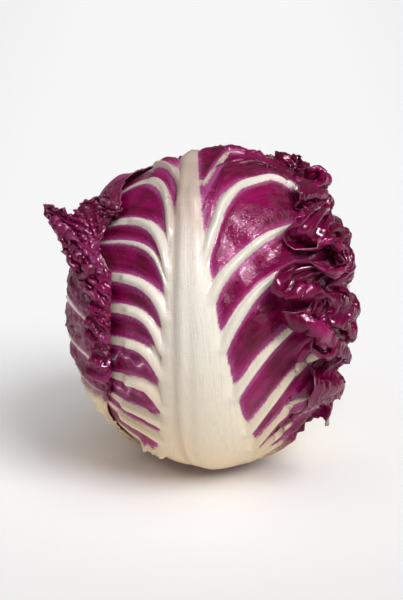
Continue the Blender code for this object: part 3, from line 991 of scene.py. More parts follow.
    def stand_up(self, row: np.ndarray, beta: np.ndarray, t: np.ndarray) -> np.ndarray:
        """How far the free margins stand up from the head, in waves of two lengths.

        Args:
            row: the points' rows.
            beta: their beta.
            t: their place from margin to margin.

        Returns:
            The height in metres.
        """
        plan = self.plan
        wave = np.sin(row * 3.6 + plan.seed) + 0.6 * np.sin(row * 6.7 + beta * 0.11 + 2.0 * plan.seed)
        ripple = 0.5 + 0.5 * np.clip(wave / 1.3, -1.0, 1.0)
        reach = np.where(t < 0.0, plan.wave_left, plan.wave_right) * smooth(0.45, 1.0, np.abs(t))
        tip = plan.wave_tip * smooth(plan.last - 1.8, plan.last, row)
        return smooth(1.0, 3.0, row) * np.maximum(reach, tip) * ripple

    def strip(self, main: Grids, columns: int) -> np.ndarray:
        """The right margin rolled outwards over itself and laid back as a free strip.

        Across the strip the angle turns evenly through the roll and then stays, and the place is the sum of
        steps (cos angle along the leaf, sin angle away from the head).

        Args:
            main: the grids of main_grid().
            columns: how many columns the strip has.

        Returns:
            The strip's grid, whose first column is one step past the margin.
        """
        plan, rows, edge = self.plan, main["row"][:, -1], main["points"][:, -1]
        along = unit(edge - main["points"][:, -3])
        out = edge - BALL.middle
        out = unit(out - along * np.sum(along * out, axis=1)[:, None])
        length = look_up(plan.hem, rows) * (1.0 + 0.16 * np.sin(rows * 5.3 + plan.seed))
        final = np.radians(look_up(plan.hem_angle, rows))
        bend = np.minimum(HEM_BEND, 0.4 * MM + 0.35 * length) * final
        whole = (bend + length + 1.0 * MM)[:, None]
        rows, length, final, bend = (values[:, None] for values in (rows, length, final, bend))
        arc = (np.arange(columns) + 0.5) / columns * whole
        laid = np.clip((arc - bend) / (length + 1e-6), 0.0, 1.0)
        wave = plan.hem_wave * 0.5 * np.sin(rows * 4.4 + plan.seed + 2.0 * laid) * laid
        angle = np.minimum(final * np.clip(arc / bend, 0.0, 1.0) + wave, HEM_STEEPEST)
        angle = angle + look_up(plan.hem_hug, rows) * np.clip(arc - bend, 0.0, None) / BALL.radius
        x, h = (np.cumsum(turn(angle) * (whole / columns), axis=1) for turn in (np.cos, np.sin))
        return edge[:, None] + along[:, None] * x[..., None] + out[:, None] * h[..., None]

    def start(self, rows: int, columns: int) -> tuple[Grids, np.ndarray]:
        """The leaf before it grows.

        Args:
            rows: how many rows.
            columns: how many columns, strip included.

        Returns:
            The grids of main_grid(), and all places, strip included.
        """
        main = self.main_grid(rows, columns)
        rest = columns - main["points"].shape[1]
        if rest == 0:
            return main, main["points"]
        return main, np.concatenate((main["points"], self.strip(main, rest)), axis=1)

    def margin_distance(self, points: np.ndarray) -> np.ndarray:
        """Arc length in metres along rows and columns to the nearest free margin.

        Args:
            points: the grid of places.

        Returns:
            The distance for each point.
        """
        up, across = arcs(points)
        sides = np.minimum(across, across[:, -1:] - across)
        return np.minimum(sides, up[-1:] - up)

    def on_strip(self, shape: tuple[int, int], extra: int, ramp: bool) -> np.ndarray:
        """1 on the strip, or on all of it but its first part, which is a ramp.

        Args:
            shape: rows and columns of the grid.
            extra: how many columns the strip has.
            ramp: whether the first 0.4 of it rises softly.

        Returns:
            The share for each point.
        """
        on_strip = np.zeros(shape)
        if extra:
            share = np.linspace(0.0, 1.0, extra)
            on_strip[:, shape[1] - extra:] = smooth(0.0, 0.4, share) if ramp else 1.0
        return on_strip

    def ruffled(self) -> np.ndarray:
        """What growth adds to the coarse grid's places.

        Returns:
            The steps on the coarse grid, in metres.
        """
        main, start = self.start(*self.coarse)
        extra = start.shape[1] - main["t"].shape[1]
        held = smooth(1.2 * MM, -0.6 * MM, self.rib_fields(main)["rib"])
        held = widened(held * smooth(0.98, 0.62, np.abs(main["t"])), extra, 0.0)
        free = self.freedom(main, start)
        near = np.exp(-self.margin_distance(start) / self.reach_of_growth) * free
        even = (self.blade_growth - 1.0) * free
        growth = [1.0 + gain * near + even for gain in (self.edge_growth - 1.0, self.cross_gain)]
        hold = np.maximum((1.0 - free) ** 2 + self.spring, self.rib_hold * held)
        low = self.layer_lift(BALL.outward(start)) - self.sink
        low = low + self.strip_lift * self.on_strip(self.coarse, extra, True)
        high = np.maximum(self.ceiling, BALL.lift_of(start) + 0.5 * MM)
        stage = Ruffling(GROWTH_ROUNDS, self.plan.seed)
        grown = stage.settle(start, np.stack(growth, axis=-1), hold, low, high, self.press)
        return (grown - start) * smooth(0.0, 0.25, free)[..., None]

    def crumpled(self, main: Grids, start: np.ndarray) -> np.ndarray:
        """Puts small creases into the loose margins by a second, short growth.

        Args:
            main: the grids of main_grid().
            start: all places on the fine grid after the first growth.

        Returns:
            The places after the second.
        """
        extra = self.columns - main["t"].shape[1]
        if extra == 0:
            return start
        row = widened(main["row"], extra)
        frill = smooth(self.crease_tip, self.crease_tip + 0.5, row)
        free = self.freedom(main, start)
        free = free * np.maximum(smooth(self.crease_end + 0.6, self.crease_end - 0.6, row), frill)
        by_margin = smooth(12 * MM, 4 * MM, self.margin_distance(start))
        free = free * np.maximum(self.on_strip(start.shape[:2], extra, False), by_margin)
        growth = 1.0 + self.crease_growth * free[..., None] * np.ones(2)
        low = np.minimum(BALL.lift_of(start), 0.2 * MM) - 0.3 * MM
        high = np.maximum(self.ceiling, BALL.lift_of(start)) + 1.0 * MM
        stage = Ruffling(CREASE_ROUNDS, self.plan.seed + 1,
                         noise_length=self.crease_length, contact=self.crease_contact)
        return stage.settle(start, growth, np.maximum(1.0 - free, 0.12), low, high)

    def looseness(self, main: Grids, start: np.ndarray) -> np.ndarray:
        """1 at the margins and on the strip, fading to 0 at some distance inside them.

        The strip's side has a reach of its own, which ends below the tip.

        Args:
            main: the grids of main_grid().
            start: all places, strip included.

        Returns:
            The looseness of each point.
        """
        points = main["points"]
        loose = smooth(*self.reach, self.margin_distance(points))
        across = widened(np.cumsum(edge_lengths(points, 0, 1)[:, ::-1], axis=1)[:, ::-1], 1, 0.0)
        below = smooth(self.plan.last - 1.2, self.plan.last - 2.4, main["row"])
        by_strip = smooth(*self.strip_reach, across) * below
        loose = np.maximum(loose * (0.35 + 0.65 * below), by_strip)
        return widened(loose, start.shape[1] - loose.shape[1], 1.0)

    def freedom(self, main: Grids, start: np.ndarray) -> np.ndarray:
        """How freely each point may grow: its looseness, less where it is hidden and by the base.

        Args:
            main: the grids of main_grid().
            start: all places, strip included.

        Returns:
            The share for each point, 0 to 1.
        """
        extra = start.shape[1] - main["t"].shape[1]
        seen = 1.0 - widened(main["hidden"], extra, 0.0)
        return self.looseness(main, start) * seen * smooth(*GROWTH_ROWS, widened(main["row"], extra))

    def row_width(self, main: Grids) -> np.ndarray:
        """How wide a row is: the area of a cell over its length along the vein.

        Args:
            main: the grids of main_grid().

        Returns:
            The width in metres at each point.
        """
        points = BALL.place(main["d"], main["lift"] * 0.0)
        down = np.gradient(points, axis=0) / np.gradient(main["row"], axis=0)[..., None]
        across = np.gradient(points, axis=1)
        return np.linalg.norm(np.cross(down, across), axis=-1) / np.linalg.norm(across, axis=-1)

    def side_ribs(self, main: Grids, width: np.ndarray, out: np.ndarray) -> tuple[np.ndarray, np.ndarray]:
        """The side veins, of which one runs along every whole row and one along every odd one of the plan.

        A vein's distance is the row's offset times the width of a row there, less the vein's half width.

        Args:
            main: the grids of main_grid().
            width: how wide a row is.
            out: how far each point lies outside the midrib.

        Returns:
            The signed distance to the nearest vein's edge, and that vein's half width.
        """
        plan, row, beta = self.plan, main["row"], main["beta"]
        centre = look_up(plan.midrib_middle, main["alpha"])
        broad = look_up(tuple((x * MM, w) for x, w in self.vein_half), out)
        broad = broad * smooth(1.02, 0.80, np.abs(main["t"])) * (1.0 - 0.25 * row / plan.last)
        nearest, wide = np.full(row.shape, 1.0), broad
        for side in Side:
            here = beta * side.value >= centre * side.value
            for vein, strength in plan.drawn(side).items():
                end = dict(plan.short).get(vein, 1.0) if side is Side.RIGHT else 1.0
                strength = strength * smooth(1.3 * end, 0.6 * end, out)
                off_vein = np.abs(row - vein) * width - broad * strength
                closer = here & (off_vein < nearest) & (strength > 0.0)
                wide = np.where(closer, broad * strength, wide)
                nearest = np.where(closer, off_vein, nearest)
        return nearest, wide

    def rib_fields(self, main: Grids) -> Grids:
        """Where the ribs are and how high they stand.

        Ribs that meet are joined by a smooth least distance, so that veins run into the midrib with a fillet.

        Args:
            main: the grids of main_grid().

        Returns:
            By name: rib, the signed distance in metres to the ribs' edges, less than 0 inside; height, how
            far they stand out; and groove, the depth of the midrib's groove.
        """
        alpha, row, beta = main["alpha"], main["row"], main["beta"]
        off = BALL.arc(np.abs(beta - look_up(self.plan.midrib_middle, alpha)), alpha)
        half = BALL.arc(look_up(self.plan.midrib_half, alpha), alpha)
        width = self.row_width(main)
        side_rib, wide = self.side_ribs(main, width, np.clip(off - 0.8 * half, 0.0, None))
        rib = smooth_least(side_rib, off - half, self.joint)
        for ledge in self.ledges:
            line = np.abs(ledge.above(row, beta)) * width - self.ledge_half
            line = line + 10 * MM * (1.0 - ledge.inside(beta))
            rib = np.minimum(rib, line)
        middle = dome(off / half, 0.7) * look_up(self.midrib_height, alpha)
        aside = dome((side_rib + wide) / (wide + 1e-6), 0.6) * self.vein_height
        aside = aside * np.sqrt(np.clip(wide / (2.2 * MM), 0.0, 1.0)) * smooth(0.5, 1.05, off / half)
        groove = self.groove.at(alpha, beta) if self.groove else alpha * 0.0
        height = np.sqrt(middle ** 2 + aside ** 2) - groove
        height = height + sum(ledge.relief(row, beta) for ledge in self.ledges)
        return {"rib": rib, "height": height, "groove": groove}

    def wrinkles(self, flat: np.ndarray, rib: np.ndarray,
                 margin: np.ndarray) -> tuple[np.ndarray, np.ndarray]:
        """The blade's unevenness: a fine net of veins, and wrinkles that grow towards the margins.

        Args:
            flat: the leaf laid flat.
            rib: the distance to the ribs.
            margin: the distance to the margins.

        Returns:
            The distance to the net's threads, and the wrinkles' height, both in metres.
        """
        bends = [swell(flat, self.bend_length, seed) for seed in (3, 4)]
        bent = flat + self.net_bend * np.stack(bends, axis=-1)
        net = cells(bent * (0.8, 1.0), self.net_size, self.plan.seed)
        rough = smooth(*self.rough_reach, margin)
        small = (0.05 + 0.20 * rough) * MM * swell(flat, self.small_length, self.plan.seed + 2, 3)
        meshes = self.net_depth * (0.15 + 0.85 * rough) * (smooth(0.0, 1.3 * MM, net) - 0.6)
        pucker = swell(bent * (0.7, 1.0), self.crinkle_length, self.plan.seed + 5, 3)
        pucker = pucker + smooth(0.0, 1.6 * MM, net) - 0.7
        pucker = self.crinkle * pucker * smooth(0.0, 2.0 * MM, rib) * smooth(0.0, 8 * MM, margin)
        return net, smooth(0.0, 3.0 * MM, rib) * (small + meshes) + pucker

    def puffs(self, flat: np.ndarray, rib: np.ndarray) -> np.ndarray:
        """How far the blade swells out between the ribs: 1 - exp(-distance / 2 mm), in uneven swells.

        Args:
            flat: the leaf laid flat.
            rib: the distance to the ribs.

        Returns:
            The height at each point, in metres.
        """
        puff = self.puff * (1.0 - np.exp(-np.clip(rib, 0.0, None) / (2.0 * MM)))
        puff = puff * (0.8 + 0.5 * swell(flat, self.swell_length, self.plan.seed + 1))
        return puff * smooth(-45 * MM, 12 * MM, flat[..., 1])

    def build(self, finish: "LeafFinish") -> bpy.types.Object:
        """Makes the leaf's piece.

        Args:
            finish: what it looks like.

        Returns:
            The finished object.
        """
        main, points = self.start(self.rows, self.columns)
        points = points + refine(self.ruffled(), self.rows, self.columns)
        points = self.toothed(self.crumpled(main, points))
        extra = self.columns - main["t"].shape[1]
        fields = self.rib_fields(main)
        row, rib = widened(main["row"], extra), self.continued(fields["rib"], extra, 3.0 * MM)
        height, groove, hidden = (widened(values, extra, 0.0)
                                  for values in (fields["height"], fields["groove"], main["hidden"]))
        flat, margin = self.flat(main, points), self.margin_distance(points)
        net, wrinkle = self.wrinkles(flat, rib, margin)
        thick = BLADE * (self.thin_edge + (1.0 - self.thin_edge) * smooth(0.0, self.thin_reach, margin))
        relief = (height + self.puffs(flat, rib)) * (1.0 - hidden) * smooth(0.0, 1.0, row) ** 0.5
        relief = relief * smooth(0.0, self.relief_reach, margin)
        normal = normals_of(points)
        outer = points + normal * (thick + relief + wrinkle * (1.0 - hidden))[..., None]
        inner = points + normal * (wrinkle * 0.5 * smooth(self.inner_reach, 0.0, margin))[..., None]
        # groove is stored so that the finish paints shade into the midrib's groove
        values = {"rib": rib / MM, "net": net / MM, "margin": margin / MM, "along": row / self.plan.last,
                  "row": row, "groove": groove / MM}
        mesh = shell_mesh(self.plan.name, outer, inner, values, flat)
        return dressed(mesh, finish.material(), self.plan.name)

    def toothed(self, points: np.ndarray) -> np.ndarray:
        """Draws the margins back between pointed teeth, over the last few millimetres of the sheet.

        Args:
            points: the grid of places.

        Returns:
            The places with teeth.
        """
        up, across = arcs(points)
        aside, ahead = (unit(np.gradient(points, axis=axis), 1e-9) for axis in (1, 0))
        moved = points - aside * self.drawn_back(up[:, -1:], across[:, -1:] - across)[..., None]
        moved = moved + aside * self.drawn_back(up[:, :1] + 0.5, across)[..., None]
        return moved - ahead * self.drawn_back(across[-1:] + 0.9, up[-1:] - up)[..., None]

    def drawn_back(self, along: np.ndarray, away: np.ndarray) -> np.ndarray:
        """How far points move, which are away from a margin at an arc length along it."""
        return self.inset(along) * smooth(self.tooth_reach, 0.0, away)

    def inset(self, along: np.ndarray) -> np.ndarray:
        """How far a margin is drawn back between the nearest of many scattered tips.

        It grows with the distance to the tip: depth (distance / half the spacing)^0.8.

        Args:
            along: arc length along the margin.

        Returns:
            The inset there, in metres.
        """
        scaled = along / self.tooth_gap
        home = np.floor(scaled)
        tips = [home + k + 0.5 + 0.38 * jitter(home + k, self.plan.seed + 0.3) for k in (-1.0, 0.0, 1.0)]
        nearest = np.min([np.abs(scaled - tip) for tip in tips], axis=0)
        size = 0.6 + 0.4 * np.sin(along / (7.0 * MM) + self.plan.seed)
        between = np.clip(nearest / 0.5, 0.0, 1.0) ** 0.8
        return self.tooth_depth * size * between * smooth(12 * MM, 30 * MM, along)

    def continued(self, values: np.ndarray, extra: int, least: float) -> np.ndarray:
        """Values carried on over the strip from the margin's column, no lower than a least one.

        Args:
            values: the grid without the strip.
            extra: how many columns the strip has.
            least: the least value at the strip's end.

        Returns:
            The grid with the strip.
        """
        if extra == 0:
            return values
        edge = np.maximum(values[:, -1:], 0.0)
        share = np.linspace(0.0, 1.0, extra)[None, :]
        return np.concatenate((values, edge * (1.0 - share) + np.maximum(edge, least) * share), axis=1)

    def flat(self, main: Grids, points: np.ndarray) -> np.ndarray:
        """The leaf laid flat.

        Args:
            main: the grids of main_grid().
            points: all places, strip included.

        Returns:
            Arc length up the midrib with the veins' climb, and arc length out along each row from the middle.
        """
        row, beta = main["row"], main["beta"]
        middle = int(np.argmin(np.abs(main["t"][0])))
        up, across = arcs(points)
        climb = self.chart.alpha(row, beta) - self.chart.alpha(row, 0.0 * beta)
        climb = np.radians(widened(climb, points.shape[1] - climb.shape[1])) * BALL.radius
        return np.stack((up[:, middle, None] + climb, across - across[:, middle, None]), axis=-1)


def shell_mesh(name: str, outer: np.ndarray, inner: np.ndarray, values: Grids,
               flat: np.ndarray) -> bpy.types.Mesh:
    """A closed mesh from the two faces of a sheet, joined round all four sides of the grid.

    Args:
        name: the mesh's name.
        outer: the grid of the outer face.
        inner: the grid of the inner face.
        values: numbers for each grid point, stored as attributes on both faces.
        flat: the sheet laid flat, stored as the UV map in units of 0.1 m.

    Returns:
        The mesh, with its faces pointing outwards.
    """
    rows, columns = outer.shape[:2]
    index = np.arange(rows * columns).reshape(rows, columns)
    a, b, c, d = index[:-1, :-1], index[:-1, 1:], index[1:, 1:], index[1:, :-1]
    top = np.stack((a, b, c, d), axis=-1).reshape(-1, 4)
    under = top[:, ::-1] + rows * columns
    ring = np.concatenate((index[0, :-1], index[:-1, -1], index[-1, :0:-1], index[:0:-1, 0]))
    after = np.roll(ring, -1)
    rim = np.stack((ring, ring + rows * columns, after + rows * columns, after), axis=-1)
    faces = np.concatenate((top, under, rim))
    verts = np.concatenate((outer.reshape(-1, 3), inner.reshape(-1, 3)))
    mesh = grid_mesh(name, verts, faces)
    doubled = {key: np.tile(value.reshape(-1), 2) for key, value in values.items()}
    doubled["face"] = np.repeat((Face.OUTER.value, Face.INNER.value), rows * columns)
    for key, value in doubled.items():
        mesh.attributes.new(key, "FLOAT", "POINT").data.foreach_set("value", value.astype(np.float32))
    uv = np.tile(flat.reshape(-1, 2) * 10.0, (2, 1))[faces.reshape(-1)]
    mesh.uv_layers.new(name="UVMap").data.foreach_set("uv", uv.astype(np.float32).reshape(-1))
    return mesh


def grid_mesh(name: str, verts: np.ndarray, faces: np.ndarray) -> bpy.types.Mesh:
    """A smooth-shaded mesh from arrays of places and four-sided faces.

    Args:
        name: the mesh's name.
        verts: the places.
        faces: four indices for each face.

    Returns:
        The mesh.
    """
    mesh = bpy.data.meshes.new(name)
    mesh.vertices.add(len(verts))
    mesh.vertices.foreach_set("co", verts.astype(np.float32).reshape(-1))
    mesh.loops.add(faces.size)
    mesh.loops.foreach_set("vertex_index", faces.astype(np.int32).reshape(-1))
    mesh.polygons.add(len(faces))
    mesh.polygons.foreach_set("loop_start", np.arange(0, faces.size, 4, dtype=np.int32))
    mesh.update(calc_edges=True)
    mesh.validate()
    mesh.shade_smooth()
    return mesh


def welded(mesh: bpy.types.Mesh) -> bpy.types.Mesh:
    """The mesh with coinciding points joined, so that its poles are single points and it is closed.

    Args:
        mesh: the mesh, changed in place.

    Returns:
        The same mesh.
    """
    shape = bmesh.new()
    shape.from_mesh(mesh)
    bmesh.ops.remove_doubles(shape, verts=shape.verts[:], dist=0.005 * MM)
    shape.to_mesh(mesh)
    shape.free()
    mesh.shade_smooth()
    return mesh


def dressed(mesh: bpy.types.Mesh, material: bpy.types.Material, node: str) -> bpy.types.Object:
    """An object for a finished mesh, which stands for a CAD node and rides on the head.

    Args:
        mesh: the piece's mesh.
        material: its finish.
        node: the CAD node that it stands for.

    Returns:
        The object.
    """
    piece = bpy.data.objects.new(f"{node}_dressed", mesh)
    bpy.context.scene.collection.objects.link(piece)
    mesh.materials.append(material)
    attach(piece, "root")
    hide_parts(node)
    return piece


# Shader maths.


class Value:
    """A number that a shader works out, so that maths on it reads as Python."""

    def __init__(self, nodes: "Nodes", socket: bpy.types.NodeSocket) -> None:
        """Wraps an output socket."""
        self.nodes, self.socket = nodes, socket

    def _with(self, operation: str, *others: "Value | float") -> "Value":
        """One Math node on this value and others."""
        return self.nodes.maths(operation, self, *others)

    def __add__(self, other: "Value | float") -> "Value":
        """Sum."""
        return self._with("ADD", other)

    __radd__ = __add__

    def __sub__(self, other: "Value | float") -> "Value":
        """Difference."""
        return self._with("SUBTRACT", other)

    def __rsub__(self, other: float) -> "Value":
        """A number less this value."""
        return self.nodes.maths("SUBTRACT", other, self)

    def __mul__(self, other: "Value | float") -> "Value":
        """Product."""
        return self._with("MULTIPLY", other)

    __rmul__ = __mul__

    def __pow__(self, other: float) -> "Value":
        """Power."""
        return self._with("POWER", other)

    def clipped(self) -> "Value":
        """The value kept from 0 to 1."""
        return self.nodes.maths("ADD", self, 0.0, clip=True)

    def at_least(self, other: "Value | float") -> "Value":
        """The larger of two."""
        return self._with("MAXIMUM", other)

    def ramp(self, low: float, high: float) -> "Value":
        """0 at low and 1 at high with soft ends; low may be the larger.

        Args:
            low: where it is 0.
            high: where it is 1.

        Returns:
            The ramp.
        """
        flip = low > high
        made = self.nodes.add("ShaderNodeMapRange", {"interpolation_type": "SMOOTHSTEP"},
                              {"Value": self, "From Min": min(low, high), "From Max": max(low, high)})
        return 1.0 - made if flip else made


class Nodes:
    """A material's node tree, and the one way that nodes are added to it."""

    def __init__(self, name: str) -> None:
        """Starts a material with only its output and Principled shader.

        Args:
            name: the material's name.
        """
        self.material = bpy.data.materials.new(name)
        self.material.use_nodes = True
        self.tree = self.material.node_tree
        self.shader = self.tree.nodes["Principled BSDF"]

    def add(self, kind: str, settings: dict, inputs: dict, output: int | str = 0) -> Value:
        """Adds a node.

        Args:
            kind: the node's type.
            settings: its properties, set before its sockets.
            inputs: numbers, colours or Values by socket name or number.
            output: which output to hand on.

        Returns:
            The output, wrapped.
        """
        node = self.tree.nodes.new(kind)
        for key, setting in settings.items():
            setattr(node, key, setting)
        for key, value in inputs.items():
            self.feed(node.inputs[key], value)
        return Value(self, node.outputs[output])

    def feed(self, socket: bpy.types.NodeSocket, value: "Value | float | tuple") -> None:
        """Links a Value to a socket, or sets a number or colour on it.

        Args:
            socket: the input.
            value: what it gets.
        """
        if isinstance(value, Value):
            self.tree.links.new(value.socket, socket)
        elif isinstance(value, tuple) and len(value) == 3 and len(socket.default_value) == 4:
            socket.default_value = (*value, 1.0)
        else:
            socket.default_value = value

    def maths(self, operation: str, *parts: "Value | float", clip: bool = False) -> Value:
        """One Math node."""
        return self.add("ShaderNodeMath", {"operation": operation, "use_clamp": clip},
                        dict(enumerate(parts)))

    def attribute(self, name: str) -> Value:
        """A number stored on the mesh's points."""
        return self.add("ShaderNodeAttribute", {"attribute_name": name}, {}, "Fac")

    def place(self) -> Value:
        """Object coordinates."""
        return self.add("ShaderNodeTexCoord", {}, {}, "Object")

    def part(self, vector: Value, axis: str) -> Value:
        """One of the three numbers of a vector."""
        return self.add("ShaderNodeSeparateXYZ", {}, {"Vector": vector}, axis)

    def sheet(self) -> Value:
        """The piece's own UV map."""
        return self.add("ShaderNodeUVMap", {"uv_map": "UVMap"}, {})

    def along_veins(self, row: Value, place: Value, across: float, length: float) -> Value:
        """Coordinates for streaks that follow the veins: the row by a scale, and places in long waves.

        Args:
            row: the row at each point.
            place: the places.
            across: waves in a row.
            length: waves in a metre along the veins.

        Returns:
            The coordinates.
        """
        stretched = self.add("ShaderNodeVectorMath", {"operation": "SCALE"}, {0: place, "Scale": length})
        rows = self.add("ShaderNodeCombineXYZ", {}, {"X": row * across, "Y": row * 0.0, "Z": row * 0.37})
        return self.add("ShaderNodeVectorMath", {"operation": "ADD"}, {0: stretched, 1: rows})

    def noise(self, where: Value, scale: float, detail: float = 2.0, rough: float = 0.5) -> Value:
        """Noise round 0.5 at a scale in waves per unit."""
        return self.add("ShaderNodeTexNoise", {"noise_dimensions": "3D"},
                        {"Vector": where, "Scale": scale, "Detail": detail, "Roughness": rough}, 0)

    def mix(self, share: "Value | float", first: "Value | Colour", second: "Value | Colour") -> Value:
        """A colour between two."""
        return self.add("ShaderNodeMix", {"data_type": "RGBA"}, {0: share, 6: first, 7: second}, 2)

    def bump(self, height: Value, distance: float, strength: float = 1.0) -> Value:
        """A normal tilted by a height that is in units of the distance."""
        return self.add("ShaderNodeBump", {}, {"Height": height, "Distance": distance, "Strength": strength})

    def finish(self, values: dict) -> bpy.types.Material:
        """Sets or links the shader's sockets and hands the material on.

        Args:
            values: numbers, colours or Values by the name of the shader's socket.

        Returns:
            The finished material.
        """
        for key, value in values.items():
            self.feed(self.shader.inputs[key], value)
        return self.material


def linear(share: float) -> float:
    """A linear share of light from a display value's: ((s + 0.055) / 1.055)^2.4, or s / 12.92 by black."""
    return ((share + 0.055) / 1.055) ** 2.4 if share > 0.04 else share / 12.92


def srgb(red: float, green: float, blue: float) -> Colour:
    """A linear colour from 8-bit display values."""
    return linear(red / 255.0), linear(green / 255.0), linear(blue / 255.0)


class LeafFields:
    """The numbers that a leaf's finish is mixed from: those stored on its mesh, and some noises.

    Distances are in millimetres. fine and fuzz are specks, broad is blotches, streak and fibre follow the
    side veins, and strand follows the midrib.
    """

    def __init__(self, n: Nodes) -> None:
        """Adds their nodes.

        Args:
            n: the material's nodes.
        """
        self.rib, self.net, self.margin = n.attribute("rib"), n.attribute("net"), n.attribute("margin")
        self.face, self.along, self.groove = n.attribute("face"), n.attribute("along"), n.attribute("groove")
        self.place, row = n.place(), n.attribute("row")
        self.fine = n.noise(self.place, 2600.0, 2.0) - 0.5
        self.fuzz = n.noise(self.place, 900.0, 3.0, 0.7) - 0.5
        self.broad = n.noise(self.place, 60.0, 3.0)
        self.streak = n.noise(n.along_veins(row, self.place, 9.0, 26.0), 1.0, 3.0, 0.6)
        self.fibre = n.noise(n.along_veins(row, self.place, 34.0, 60.0), 1.0, 2.0, 0.6) - 0.5
        stretched = n.add("ShaderNodeMapping", {}, {"Vector": n.sheet(), "Scale": (9.0, 170.0, 1.0)})
        self.strand = n.noise(stretched, 1.0, 3.0)


